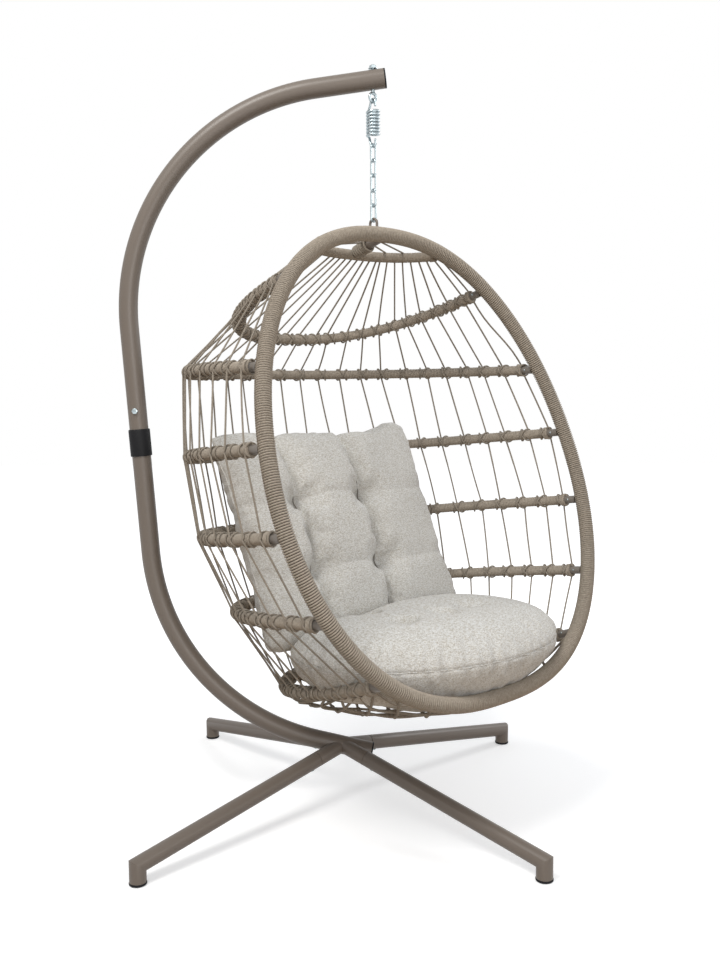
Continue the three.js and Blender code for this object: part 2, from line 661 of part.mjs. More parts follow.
// Lattice points and diamonds share a grid: diamonds sit where column and row add up odd.
function net() {
  const positions = [];
  const faces = [];
  const known = {};
  const at = (column, row) => netPoint(2 * column / netColumns - 1, row / netRows);
  const pair = (p) => {
    positions.push(p.x, p.y, p.z, p.x, p.y, p.z - 2 * netRope);
    return positions.length / 3 - 2;
  };
  const knot = (column, row) => {
    const key = `${column},${row}`;
    if (!(key in known)) known[key] = pair(at(column, row));
    return known[key];
  };
  const quad = (a, b, c, d) => faces.push(a, b, c, a, c, d);
  const inside = ([column, row]) => column >= 0 && column <= netColumns && row >= 0 && row <= netRows;
  for (let column = 0; column <= netColumns; column++) {
    for (let row = (column + 1) % 2; row <= netRows; row += 2) {
      const around = [[column + 1, row], [column, row + 1], [column - 1, row], [column, row - 1]];
      const corners = around.filter(inside);
      const middle = corners.reduce((sum, c) => sum.add(at(...c)), V(0, 0, 0)).divideScalar(corners.length);
      const outer = corners.map((c) => knot(...c));
      const inner = corners.map((c) => {
        const p = at(...c);
        const span = p.distanceTo(middle);
        return pair(p.lerp(middle, netRope * 1.5 / span));
      });
      corners.forEach(([c, r], i) => {
        const j = (i + 1) % corners.length;
        const [c2, r2] = corners[j];
        quad(outer[i], outer[j], inner[j], inner[i]);
        quad(outer[j] + 1, outer[i] + 1, inner[i] + 1, inner[j] + 1);
        quad(inner[i], inner[j], inner[j] + 1, inner[i] + 1);
        const border = (c === c2 && (c === 0 || c === netColumns)) || (r === r2 && (r === 0 || r === netRows));
        if (border) quad(outer[j], outer[i], outer[i] + 1, outer[j] + 1);
      });
    }
  }
  const geometry = new THREE.BufferGeometry();
  geometry.setAttribute('position', new THREE.Float32BufferAttribute(positions, 3));
  geometry.setIndex(faces);
  return geometry;
}
piece('bottom_net', net(), 'cord', basket);

// ---------------------------------------------------------------- cushions

const bump = (distance, width) => Math.exp(-((distance / width) ** 2));

// How far sewn channels and tufts pull the cover in at a place on a cushion, 0 to 1.
function tufting(u, v, channel, tuft) {
  let pull = 0;
  for (const a of [-tuftPlace, tuftPlace]) {
    pull = Math.max(pull, channel * bump(u - a, 0.07), channel * bump(v - a, 0.07));
    for (const b of [-tuftPlace, tuftPlace]) pull = Math.max(pull, tuft * bump(Math.hypot(u - a, v - b), 0.13));
  }
  return pull;
}

// A closed form from two sheets of points that share their border.
function pillow(columns, rows, sheet) {
  const rings = [];
  const positions = [];
  const faces = [];
  const index = (i, j, side) => {
    const border = i === 0 || j === 0 || i === columns || j === rows;
    const key = `${i},${j},${border ? 0 : side}`;
    if (!(key in rings)) {
      rings[key] = positions.length / 3;
      const p = sheet(2 * i / columns - 1, 2 * j / rows - 1, side);
      positions.push(p.x, p.y, p.z);
    }
    return rings[key];
  };
  for (const side of [1, -1]) {
    for (let i = 0; i < columns; i++) {
      for (let j = 0; j < rows; j++) {
        const [a, b] = [index(i, j, side), index(i + 1, j, side)];
        const [c, d] = [index(i + 1, j + 1, side), index(i, j + 1, side)];
        faces.push(...(side > 0 ? [a, b, c, a, c, d] : [a, c, b, a, d, c]));
      }
    }
  }
  const geometry = new THREE.BufferGeometry();
  geometry.setAttribute('position', new THREE.Float32BufferAttribute(positions, 3));
  geometry.setIndex(faces);
  return geometry;
}

// Back cushion: square, crowned, its sides pulled in between the corners.
const backHalfWidth = ringHalfWidth - backSideRoom;
const backCushion = pillow(18, 18, (u, v, side) => {
  const fill = ((1 - u * u) * (1 - v * v)) ** 0.36;
  const depth = (side > 0 ? backFront : backRear) * fill * (1 - tufting(u, v, 0.3, 0.62));
  const x = backHalfWidth * u * (1 - tuck * (1 - v * v));
  const y = backHalfHeight * v * (1 - tuck * (1 - u * u));
  return V(x, -side * depth, y);
});
backCushion.rotateX(-rad(backLean)).translate(0, backCentre.y, ringMidZ + backCentre.rise);
piece('back_cushion', backCushion, 'cloth', basket);

// Seat cushion: round, with a crowned top and a flatter belly that lies on the net.
const seatHalfWidth = ringHalfWidth - seatSideRoom;
const seatCushion = pillow(18, 18, (u, v, side) => {
  const a = u * Math.sqrt(1 - v * v / 2);
  const b = v * Math.sqrt(1 - u * u / 2);
  const r = Math.min(Math.hypot(a, b), 1);
  const pressed = 1 - seatPress * THREE.MathUtils.smoothstep(b, 0.3, 0.75);
  const crown = seatCrown * pressed * (1 - r ** 3) ** 0.5 * (1 - tufting(a, b, 0.1, 0.5));
  const belly = seatBelly * (1 - r ** 1.5) ** 0.9;
  return V(seatHalfWidth * a, seatHalfDepth * b, side > 0 ? crown : -belly);
});
seatCushion.rotateX(-rad(seatTilt)).translate(seatCentre.x, seatCentre.y, ringMidZ + seatCentre.rise);
piece('seat_cushion', seatCushion, 'cloth', basket);

// ---------------------------------------------------------------- place in its own frame

chair.updateMatrixWorld(true);
const bounds = new THREE.Box3().setFromObject(chair, true);
const middle = bounds.getCenter(V(0, 0, 0));
chair.position.set(-middle.x, -middle.y, -bounds.min.z);
chair.updateMatrixWorld(true);
const inFrame = (z) => basket.localToWorld(V(0, 0, z)).toArray().map((n) => n.toFixed(1)).join(', ');
const size = bounds.getSize(V(0, 0, 0)).toArray().map((n) => n.toFixed(1)).join(' x ');
console.log('size', size, 'mm; swivel at', inFrame(eyeCentreZ));
console.log('spring pivot at', inFrame(eyeCentreZ - eyeBoltLoop));
console.log('spring top at', coilTop.toFixed(1), '; link pivots', pivots.map((z) => z.toFixed(1)).join(', '));

export default chair;
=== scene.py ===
# %% [markdown]
# # A hanging egg chair
# The chair is a C-shaped steel stand on four legs. From its arm hang a spring, a chain and an
# egg-shaped basket of hoops laced with cord, with a round seat cushion and a tufted back cushion.
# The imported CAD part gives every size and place. This file builds the finished looks around it:
# smooth tubes, real windings of cord, knots, a rope net and simulated cushions.

import math

import bmesh
import bpy
import numpy as np
from mathutils import Matrix, Vector
from mathutils.kdtree import KDTree


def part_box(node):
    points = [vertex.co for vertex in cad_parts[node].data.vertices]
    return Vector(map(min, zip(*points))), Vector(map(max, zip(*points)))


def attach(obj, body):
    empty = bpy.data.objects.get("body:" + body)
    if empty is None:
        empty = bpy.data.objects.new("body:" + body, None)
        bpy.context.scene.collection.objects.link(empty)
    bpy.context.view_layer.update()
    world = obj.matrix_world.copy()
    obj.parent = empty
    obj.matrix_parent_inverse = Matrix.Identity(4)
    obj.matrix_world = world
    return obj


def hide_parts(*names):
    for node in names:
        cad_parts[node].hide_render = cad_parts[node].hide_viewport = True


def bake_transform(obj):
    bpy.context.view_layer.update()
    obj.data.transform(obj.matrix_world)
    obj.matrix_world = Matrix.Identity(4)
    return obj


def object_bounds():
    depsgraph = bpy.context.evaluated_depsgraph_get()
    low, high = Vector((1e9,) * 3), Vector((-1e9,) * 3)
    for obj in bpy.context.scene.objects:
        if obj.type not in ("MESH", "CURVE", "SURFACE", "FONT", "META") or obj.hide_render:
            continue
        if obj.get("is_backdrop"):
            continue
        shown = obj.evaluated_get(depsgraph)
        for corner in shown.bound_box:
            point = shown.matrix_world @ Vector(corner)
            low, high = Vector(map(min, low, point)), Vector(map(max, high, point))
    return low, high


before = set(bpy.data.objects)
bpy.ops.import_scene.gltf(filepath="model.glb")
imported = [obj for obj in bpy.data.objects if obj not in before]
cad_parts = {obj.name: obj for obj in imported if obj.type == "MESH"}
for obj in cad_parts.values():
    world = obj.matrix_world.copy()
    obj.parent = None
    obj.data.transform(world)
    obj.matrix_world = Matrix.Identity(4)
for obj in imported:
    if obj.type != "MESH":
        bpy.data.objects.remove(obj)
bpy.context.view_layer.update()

# %% [markdown]
# ## Two frames of reference
# The stand is symmetric and the basket is too, but the basket hangs turned by 45.8 degrees in the
# photograph. It is easiest to draw each in its own frame, in millimetres, and to convert once,
# when a mesh is made. The eye bolt's nut sits on the vertical line that the basket swivels about,
# so its box gives the place of that line, wherever the part was centred.

# %% Frames
nut_low, nut_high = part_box("eye_bolt_nut")
HANG = np.array([(nut_low.x + nut_high.x) / 2, (nut_low.y + nut_high.y) / 2, 0.0])
HANG_Y = -75.0
SWIVEL = math.radians(-45.8)
cos_turn, sin_turn = math.cos(SWIVEL), math.sin(SWIVEL)
TURN = np.array([[cos_turn, -sin_turn, 0], [sin_turn, cos_turn, 0], [0, 0, 1]])


def from_stand(points):
    return np.asarray(points, float) / 1000 + HANG - (0, HANG_Y / 1000, 0)


def from_basket(points):
    return np.asarray(points, float) / 1000 @ TURN.T + HANG


print("the hanging line stands at", HANG.round(4))

# %% [markdown]
# ## Sweeping a section along a path
# Nearly everything on this chair is a rod: tubes, wire, hoops and hundreds of turns of cord. One
# helper sweeps an oval section along a list of points. The section's side direction is carried
# from point to point with as little turning as possible, so it never flips. Blender's own curve
# bevel could do this, but plain meshes can be joined, counted and given texture coordinates that
# follow the cord.

# %% Sweep helper
def unit(v):
    return v / np.linalg.norm(v, axis=-1, keepdims=True)


def tangents(points, closed=False):
    if closed:
        return unit(np.roll(points, -1, 0) - np.roll(points, 1, 0))
    ends = np.vstack([points[:1], points, points[-1:]])
    return unit(ends[2:] - ends[:-2])


def carried(points, closed=False, start=None):
    """Tangent and two side directions at every point of a path."""
    t = tangents(points, closed)
    n = np.array(start if start is not None else ((0, 0, 1) if abs(t[0, 2]) < 0.9 else (1, 0, 0)), float)
    side = np.empty_like(t)
    for i, along in enumerate(t):
        n = n - along * (n @ along)
        n /= math.sqrt(n @ n)
        side[i] = n
    if closed:
        n = unit(n - t[0] * (n @ t[0]))
        twist = math.atan2(np.cross(n, side[0]) @ t[0], n @ side[0])
        a = (twist * np.arange(len(t)) / len(t))[:, None]
        side = side * np.cos(a) + np.cross(t, side) * np.sin(a)
    return t, side, np.cross(t, side)


def sweep(points, radius, sides=8, closed=False, start=None, side=None, flat=1.0):
    """(corners, faces, texture coordinates per face corner) of a rod; flat thins it along side."""
    points = np.asarray(points, float)
    count = len(points)
    if side is None:
        t, n, b = carried(points, closed, start)
    else:
        t = tangents(points, closed)
        n = unit(side - t * np.sum(side * t, 1)[:, None])
        b = np.cross(t, n)
    radius = np.broadcast_to(np.asarray(radius, float), (count,))[:, None, None]
    a = 2 * np.pi * np.arange(sides) / sides
    ring = np.cos(a)[None, :, None] * n[:, None] * flat + np.sin(a)[None, :, None] * b[:, None]
    corners = (points[:, None] + radius * ring).reshape(-1, 3)
    i = np.arange(count if closed else count - 1)[:, None]
    j = np.arange(sides)[None]
    k, after = (j + 1) % sides, (i + 1) % count
    faces = np.stack([i * sides + j, i * sides + k, after * sides + k, after * sides + j], -1).reshape(-1, 4)
    step = np.linalg.norm(np.roll(points, -1, 0) - points, axis=1)
    length = np.concatenate([[0], np.cumsum(step)])
    low, high = np.broadcast_to(length[i], (len(i), sides)), np.broadcast_to(length[i + 1], (len(i), sides))
    left, right = np.broadcast_to(j / sides, low.shape), np.broadcast_to((j + 1) / sides, low.shape)
    uv = np.stack([left, low, right, low, right, high, left, high], -1).reshape(-1, 4, 2)
    faces, uv = faces.tolist(), uv.tolist()
    if not closed:
        last = (count - 1) * sides
        for cap in (list(range(sides))[::-1], list(range(last, last + sides))):
            faces.append(cap)
            uv.append([[0.5, 0.0]] * sides)
    return corners, faces, uv


def domed(points, radius, rings=3):
    """Path and radii of a rod whose two ends are rounded off."""
    points = np.asarray(points, float)
    t = tangents(points)
    a = np.linspace(0, math.pi / 2, rings + 1)[1:]
    out, small = np.sin(a) * radius, np.maximum(np.cos(a), 0.05) * radius
    head = points[0] - t[0] * out[::-1, None]
    tail = points[-1] + t[-1] * out[:, None]
    radii = np.concatenate([small[::-1], np.full(len(points), radius), small])
    return np.vstack([head, points, tail]), radii


# %% [markdown]
# ## Shapes from mesh operators
# Turned and bent steel parts come from a bmesh, Blender's editable mesh: a circle or a profile that
# is spun, extruded and cut. Three small helpers keep the recipes short. One gives the place of a
# circle that faces a direction, one extrudes a ring of edges along a vector, and one closes the open
# ends, points all faces outwards and hands the shape on.

# %% Operator helpers
def facing(at, direction):
    """A place at a point, with its Z axis along a direction."""
    along = Vector(direction).normalized()
    side = along.cross(Vector((0, 0, 1) if abs(along.z) < 0.9 else (1, 0, 0))).normalized()
    turned = Matrix((side, along.cross(side), along)).transposed().to_4x4()
    return Matrix.Translation(Vector(at)) @ turned


def new_edges(geometry):
    """Of what an operator returns, the edges that join two of its new corners."""
    fresh = {g for g in geometry if isinstance(g, bmesh.types.BMVert)}
    return [g for g in geometry if isinstance(g, bmesh.types.BMEdge) and fresh.issuperset(g.verts)]


def extruded(form, ring, vector):
    grown = bmesh.ops.extrude_edge_only(form, edges=ring)["geom"]
    bmesh.ops.translate(form, verts=[g for g in grown if isinstance(g, bmesh.types.BMVert)], vec=vector)
    return new_edges(grown)


def closed_shape(form):
    """(corners, faces, texture coordinates) of a bmesh, with its open ends filled."""
    bmesh.ops.holes_fill(form, edges=form.edges, sides=0)
    bmesh.ops.recalc_face_normals(form, faces=form.faces)
    form.verts.index_update()
    corners = np.array([v.co for v in form.verts])
    faces = [[v.index for v in face.verts] for face in form.faces]
    form.free()
    return corners, faces, [[[0.0, 0.0]] * len(face) for face in faces]


# %% [markdown]
# ## Turning a profile
# Caps, collars, nuts and washers are lathe work: a profile of radius and height pairs turned about
# an axis. The spin operator does just that, and with six steps it makes the hexagons.

# %% Lathe
def lathe(profile, at, direction, sides=48):
    form = bmesh.new()
    corners = [form.verts.new((radius, 0, height)) for radius, height in profile]
    for low, high in zip(corners, corners[1:]):
        form.edges.new((low, high))
    whole = form.verts[:] + form.edges[:]
    bmesh.ops.spin(form, geom=whole, axis=(0, 0, 1), angle=2 * math.pi, steps=sides, use_merge=True)
    bmesh.ops.remove_doubles(form, verts=form.verts, dist=0.001)
    bmesh.ops.transform(form, matrix=facing(at, direction), verts=form.verts)
    return closed_shape(form)


# %% [markdown]
# ## From shapes to a piece
# A piece of the scene is one mesh made of one or more shapes. It gets a material, the CAD body that
# it moves with, and the CAD nodes that it stands for, which are hidden. Edges
# sharper than 35 degrees stay crisp and all others are shaded smooth.

# %% Piece helper
def piece(name, shapes, place, finish, body, nodes=()):
    corners, faces, uvs, base = [], [], [], 0
    for v, f, uv in shapes:
        corners.append(place(v))
        faces += [[c + base for c in face] for face in f]
        uvs += uv
        base += len(v)
    mesh = bpy.data.meshes.new(name)
    mesh.from_pydata(np.concatenate(corners).tolist(), [], faces)
    layer = mesh.uv_layers.new(name="along")
    layer.data.foreach_set("uv", np.array([c for face in uvs for c in face], np.float32).ravel())
    mesh.polygons.foreach_set("use_smooth", [True] * len(mesh.polygons))
    mesh.set_sharp_from_angle(angle=math.radians(35))
    mesh.materials.append(finish)
    made = bpy.data.objects.new(name, mesh)
    bpy.context.scene.collection.objects.link(made)
    if body:
        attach(made, body)
    if nodes:
        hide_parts(*nodes)
    print(f"{name}: {len(mesh.vertices)} corners, {len(mesh.polygons)} faces")
    return made


# %% [markdown]
# ## Finishes
# Each finish is one Principled shader. Powder coat is a satin paint with a very fine grain. Cord is
# matt, with a braid that shows as a small bump along its length and a slight change of tone from
# turn to turn. Zinc is a bright metal. The cushions are linen: a light grey melange in which single
# threads are warmer, cooler, lighter or darker. All patterns use the object's own coordinates or
# the coordinates along a cord, so they stay put when the basket swings.

# %% Shader helpers
def finish(name, color, roughness, metallic=0.0, sheen=0.0):
    made = bpy.data.materials.new(name)
    made.use_nodes = True
    shader = made.node_tree.nodes["Principled BSDF"]
    shader.inputs["Base Color"].default_value = (*color, 1)
    shader.inputs["Roughness"].default_value = roughness
    shader.inputs["Metallic"].default_value = metallic
    shader.inputs["Sheen Weight"].default_value = sheen
    return made, made.node_tree.nodes, made.node_tree.links, shader


def noise(nodes, links, vector, scale, detail=2.0, roughness=0.5):
    made = nodes.new("ShaderNodeTexNoise")
    made.inputs["Scale"].default_value = scale
    made.inputs["Detail"].default_value = detail
    made.inputs["Roughness"].default_value = roughness
    links.new(vector, made.inputs["Vector"])
    return made.outputs["Fac"]


def stretched(nodes, links, vector, scale):
    made = nodes.new("ShaderNodeMapping")
    made.inputs["Scale"].default_value = scale
    links.new(vector, made.inputs["Vector"])
    return made.outputs["Vector"]


def blend(nodes, links, factor, low, high, a, b):
    """A colour that runs from a to b while factor runs from low to high."""
    ramp = nodes.new("ShaderNodeMapRange")
    ramp.inputs["From Min"].default_value = low
    ramp.inputs["From Max"].default_value = high
    links.new(factor, ramp.inputs["Value"])
    mix = nodes.new("ShaderNodeMix")
    mix.data_type = "RGBA"
    for socket, value in ((mix.inputs[6], a), (mix.inputs[7], b)):
        if isinstance(value, tuple):
            socket.default_value = (*value, 1)
        else:
            links.new(value, socket)
    links.new(ramp.outputs["Result"], mix.inputs[0])
    return mix.outputs[2]


def bump(nodes, links, shader, height, strength, distance):
    made = nodes.new("ShaderNodeBump")
    made.inputs["Strength"].default_value = strength
    made.inputs["Distance"].default_value = distance
    links.new(height, made.inputs["Height"])
    links.new(made.outputs["Normal"], shader.inputs["Normal"])


# %% [markdown]
# Paint, cord and cloth each need a pattern, so each has a recipe. A plain number or colour is set on
# the shader's own socket, because an export keeps it only there.

# %% Finish recipes
def paint_finish(name, color):
    made, nodes, links, shader = finish(name, color, 0.42)
    own = nodes.new("ShaderNodeTexCoord").outputs["Object"]
    bump(nodes, links, shader, noise(nodes, links, own, 900), 0.12, 0.0004)
    return made


def cord_finish(name, dark, light):
    made, nodes, links, shader = finish(name, light, 0.85)
    along = nodes.new("ShaderNodeUVMap")
    along.uv_map = "along"
    own = nodes.new("ShaderNodeTexCoord").outputs["Object"]
    tone = noise(nodes, links, own, 160, 3.0, 0.7)
    links.new(blend(nodes, links, tone, 0.3, 0.7, dark, light), shader.inputs["Base Color"])
    braid = noise(nodes, links, stretched(nodes, links, along.outputs["UV"], (6, 0.9, 1)), 1.0, 1.0)
    bump(nodes, links, shader, braid, 0.5, 0.0006)
    return made


def cloth_finish(name):
    made, nodes, links, shader = finish(name, (0.54, 0.525, 0.5), 1.0, sheen=0.1)
    own = nodes.new("ShaderNodeTexCoord").outputs["Object"]
    weft = noise(nodes, links, stretched(nodes, links, own, (150, 150, 680)), 1.0, 2.0, 0.6)
    grain = noise(nodes, links, own, 430, 2.0, 0.6)
    warm = blend(nodes, links, weft, 0.38, 0.62, (0.36, 0.325, 0.27), (0.58, 0.58, 0.57))
    both = blend(nodes, links, grain, 0.45, 0.68, warm, (0.7, 0.69, 0.65))
    links.new(both, shader.inputs["Base Color"])
    bump(nodes, links, shader, grain, 0.5, 0.0015)
    return made


# %% [markdown]
# The colours were set against the photograph until each area rendered in about its tone. The cord
# wound on the rim and hoops looks lighter than the lacing, so it has a finish of its own. A dark
# matt one goes on the rim's tube, which shows only between the turns: it is painted shade there.
# Another dark one is painted shade along the back cushion's seams.

# %% Finishes
PAINT = paint_finish("powder_coat", (0.15, 0.124, 0.102))
BARE = paint_finish("hoop_paint", (0.17, 0.15, 0.13))
# Nearly black matt: painted shade for the gaps between the rim's turns.
GAP_SHADE = finish("shade", (0.05, 0.043, 0.036), 0.9)[0]
CORD = cord_finish("cord", (0.2, 0.17, 0.135), (0.31, 0.27, 0.22))
WOUND = cord_finish("winding", (0.262, 0.223, 0.178), (0.39, 0.338, 0.275))
ZINC = finish("zinc", (0.4, 0.46, 0.48), 0.28, 1.0)[0]
BLACK = finish("black_plastic", (0.006, 0.006, 0.007), 0.55)[0]
BLACK.node_tree.nodes["Principled BSDF"].inputs["Specular IOR Level"].default_value = 0.2
LINEN = cloth_finish("linen")
# Dark lines of painted shade in the back cushion's seams.
SEAM_SHADE = finish("painted_seam_shade", (0.16, 0.145, 0.125), 1.0)[0]
print("finishes:", [m.name for m in (PAINT, BARE, GAP_SHADE, CORD, WOUND, ZINC, BLACK, LINEN, SEAM_SHADE)])

# %% [markdown]
# ## The C-shaped stand
# The stand is one bent tube in two halves. Two arcs of 575 mm join three straight runs, and a
# sleeve under the black collar holds the halves together. The tube's centre line lies in one
# plane, so a heading in degrees is all it takes to walk along it.

# %% C tube's line
def heading(degrees):
    a = math.radians(degrees)
    return np.array([0, math.cos(a), math.sin(a)])


RISE, LEAN, DROOP, BEND = 12.7, 86.0, 172.8, 575.0
HEEL_RUN, SPLIT_RUN, BACK_RUN, ARM_RUN = 152, 298, 604, 181
TUBE, LEG = 25.0, 20.0
HEEL = np.array([0, -61.0, 137.0])


def bend_end(start, first, last):
    """Where an arc ends that starts at a heading of first degrees and turns to last."""
    return start + BEND * (heading(first + 90) + heading(last - 90))


up_back = heading(LEAN)
back_start = bend_end(HEEL + HEEL_RUN * heading(RISE), RISE, LEAN)
split = back_start + SPLIT_RUN * up_back
arm_start = bend_end(back_start + BACK_RUN * up_back, LEAN, DROOP)
arm_end = arm_start + ARM_RUN * heading(DROOP)
print("the halves meet at", split.round(1), "and the arm ends at", arm_end.round(1))

# %% [markdown]
# A tube bender does what the two operators do here: extrude pushes the ring straight on, and spin
# takes it round the centre of a bend. The four short stubs that carry the legs are welded to the
# lower half, so they belong to its mesh.

# %% C tube
HUB = HEEL + 81 * heading(RISE)
FEET = {"rear_left": (-480, 465), "rear_right": (480, 465),
        "front_left": (-444, -469), "front_right": (444, -469)}
ANKLE_Z, STUB = 44.0, 95.0


def bent_tube(start, runs, sides=48, steps=63):
    """A tube from straight runs, each a heading and a length, with an arc wherever the heading changes."""
    form = bmesh.new()
    now, at = runs[0][0], start
    bmesh.ops.create_circle(form, segments=sides, radius=TUBE, matrix=facing(at, heading(now)))
    ring = form.edges[:]
    for degrees, length in runs:
        if degrees != now:
            centre, turn = at + BEND * heading(now + 90), math.radians(degrees - now)
            spun = bmesh.ops.spin(form, geom=ring, cent=centre, axis=(1, 0, 0), angle=turn, steps=steps)
            ring = [g for g in spun["geom_last"] if isinstance(g, bmesh.types.BMEdge)]
            now, at = degrees, bend_end(at, now, degrees)
        ring = extruded(form, ring, length * heading(now))
        at = at + length * heading(now)
    return closed_shape(form)


def leg_line(foot):
    ankle = np.array([*FEET[foot], ANKLE_Z])
    return ankle, unit(ankle - HUB)


SEAT_GAP = 0.3
stub_profile = [(LEG - 2, 5), (LEG, 6), (LEG, STUB - 1), (LEG - 0.3, STUB - 0.3), (LEG - 1, STUB), (0, STUB)]
stubs = [lathe(stub_profile, HUB, leg_line(foot)[1]) for foot in FEET]
lower_half = bent_tube(HEEL, [(RISE, HEEL_RUN), (LEAN, SPLIT_RUN)])
upper_runs = [(LEAN, BACK_RUN - SPLIT_RUN - SEAT_GAP), (DROOP, ARM_RUN)]
upper_half = bent_tube(split + SEAT_GAP * up_back, upper_runs)
piece("lower_tube", [lower_half, *stubs], from_stand, PAINT, "stand", ["lower_c_tube"])
piece("upper_tube", [upper_half], from_stand, PAINT, "stand", ["upper_c_tube"])

# %% [markdown]
# ## Legs, caps, collar and bolts
# Each leg is pushed on a welded stub, which leaves a fine dark line at the seam, and turns down at
# a mitred ankle. A mitre is sawn, and here too: each run is extruded too far and then cut off by the
# bisect operator, in the plane halfway between the two runs. The next run grows from that cut.

# %% Legs
def mitred(points, radius, sides=48):
    """A tube round sharp corners and out to the last point."""
    points = [Vector(p) for p in points]
    runs = [(b - a).normalized() for a, b in zip(points, points[1:])]
    form = bmesh.new()
    bmesh.ops.create_circle(form, segments=sides, radius=radius, matrix=facing(points[0], runs[0]))
    ring = form.edges[:]
    for start, end, run, after in zip(points, points[1:], runs, runs[1:] + runs[-1:]):
        extruded(form, ring, run * ((end - start).length + 3 * radius))
        whole = form.verts[:] + form.edges[:] + form.faces[:]
        cut = bmesh.ops.bisect_plane(form, geom=whole, plane_co=end, plane_no=run + after, clear_outer=True)
        ring = [g for g in cut["geom_cut"] if isinstance(g, bmesh.types.BMEdge)]
    return closed_shape(form)


CAP_THICK = 6
foot_cap = [(18, 0), (20, 0.4), (21, 1.6), (21, 5), (20.4, CAP_THICK), (14, CAP_THICK)]
screw = [(0, 0), (4, 0.3), (6.3, 1.2), (7, 2.4), (7, 3.2), (3, 3.2), (3, 20)]
for foot in FEET:
    ankle, along = leg_line(foot)
    seam = HUB + along * STUB
    sole = np.array([ankle[0], ankle[1], CAP_THICK + 0.3])
    leg = mitred([seam + along * 1.6, ankle, sole], LEG)
    spigot = lathe([(LEG - 3.5, -12), (LEG - 3.5, 2)], seam, along)
    piece(f"leg_tube_{foot}", [leg, spigot], from_stand, PAINT, "stand", [f"leg_{foot}"])
    piece(f"foot_{foot}", [lathe(foot_cap, sole * (1, 1, 0), (0, 0, 1))], from_stand, BLACK, "stand",
          [f"foot_cap_{foot}"])
    under = unit(np.cross(unit(np.cross(along, (0, 0, 1))), along))
    piece(f"leg_screw_{foot}", [lathe(screw, seam + along * 24 - under * 23.3, under, 24)], from_stand, ZINC,
          "stand", [f"leg_bolt_{foot}"])

# %% [markdown]
# A black plastic collar hides the line where the halves of the C meet. The bolt that holds the inner
# sleeve shows just above it. Black caps close both ends of the C.

# %% Collar, caps and bolt
collar = [(25.2, 0), (27.7, 0), (28.5, 1), (28.5, 70), (27.7, 71.5), (26.4, 72), (25.2, 72)]
piece("collar", [lathe(collar, split - up_back * 36, up_back, 64)], from_stand, BLACK, "stand",
      ["joint_collar"])
tube_cap = [(19, -10), (19, 0.2), (24.8, 0.3), (TUBE, 0.8), (TUBE, 3), (24.4, 3.8), (23, 4), (0, 4)]
piece("arm_cap", [lathe(tube_cap, arm_end, heading(DROOP), 64)], from_stand, BLACK, "stand",
      ["top_end_cap"])
piece("heel_cap", [lathe(tube_cap, HEEL, heading(RISE + 180), 64)], from_stand, BLACK, "stand",
      ["lower_end_cap"])
bolt_at, bolt_out = split + 85 * up_back, np.array([TUBE + 5.3, 0, 0])
hexagon = [(0, 0), (6.6, 0), (8, 0.7), (8, 5)]
shank = lathe([(4, -28), (4, 34), (3.2, 35)], bolt_at, (1, 0, 0), 24)
piece("frame_bolt", [lathe(hexagon, bolt_at - bolt_out, (1, 0, 0), 6), shank], from_stand, ZINC, "stand",
      ["joint_bolt"])
piece("frame_nut", [lathe(hexagon, bolt_at + bolt_out, (-1, 0, 0), 6)], from_stand, ZINC, "stand",
      ["joint_nut"])
sleeve = lathe([(18, -60), (22, -60), (22, 120), (18, 120)], split, up_back)
piece("sleeve", [sleeve], from_stand, ZINC, "stand", ["joint_sleeve"])

# %% [markdown]
# ## Eye bolt, spring and chain
# The hardware is bright zinc wire. Paths come from a few points and a smooth curve through them.
# The spring stretches when someone sits down. It crosses the joint between the spring's top hook
# and the first link, so its mesh is left on no body.

# %% Curve helpers
def smooth(points, steps=8, closed=False):
    """A Catmull-Rom curve through points."""
    p = np.asarray(points, float)
    q = np.vstack([p[-1:], p, p[:2]]) if closed else np.vstack([2 * p[0] - p[1], p, 2 * p[-1] - p[-2]])
    t = np.linspace(0, 1, steps, endpoint=False)[:, None]
    runs = []
    for a, b, c, d in zip(q, q[1:], q[2:], q[3:]):
        curve = 2 * b + (c - a) * t + (2 * a - 5 * b + 4 * c - d) * t ** 2 + (3 * b - a - 3 * c + d) * t ** 3
        runs.append(0.5 * curve)
    made = np.concatenate(runs)
    return made if closed else np.vstack([made, p[-1]])


def circle(radius, centre, u, v, count=48, turn=1.0):
    a = 2 * np.pi * turn * np.arange(count) / count
    return np.asarray(centre) + radius * (np.outer(np.cos(a), u) + np.outer(np.sin(a), v))


X, Y, Z = np.eye(3)

# %% [markdown]
# The eye bolt goes through the arm, with a washer and a nut on top. The arm climbs, so the washer
# sits as high as its raised edge needs.

# %% Eye bolt
arm_at = arm_start + (arm_end - arm_start) * (HANG_Y - arm_start[1]) / (arm_end[1] - arm_start[1])
climb = math.radians(180 - DROOP)
half_arm = TUBE / math.cos(climb)
EYE_Z = arm_at[2] - half_arm - 0.3 - 4 - 11 - 4
nut_z = arm_at[2] + half_arm + 12 * math.tan(climb) + 0.3 + 2
eye = [sweep(circle(11, (0, 0, EYE_Z), X, Z), 4, 16, closed=True),
       lathe([(5.6, EYE_Z + 13), (5, EYE_Z + 18), (5, nut_z + 8.4), (4.4, nut_z + 9)], (0, 0, 0), Z, 24)]
piece("eye_bolt_wire", eye, from_basket, ZINC, "eye_bolt", ["eye_bolt"])
nut = [lathe([(6, -2), (11.6, -2), (12, -1.6), (12, -0.4), (11.6, 0)], (0, 0, nut_z), Z, 32),
       lathe([(9, 0), (9.5, 0.5), (9.5, 6.3), (8.2, 7)], (0, 0, nut_z), Z, 6)]
piece("eye_nut", nut, from_basket, ZINC, "eye_bolt", ["eye_bolt_nut"])

# %% [markdown]
# The spring is one wire: a hook, eight coils and a second hook. Ten points make each hook and eight
# points each coil, and the smooth curve through them bends the wire as a winding machine would.

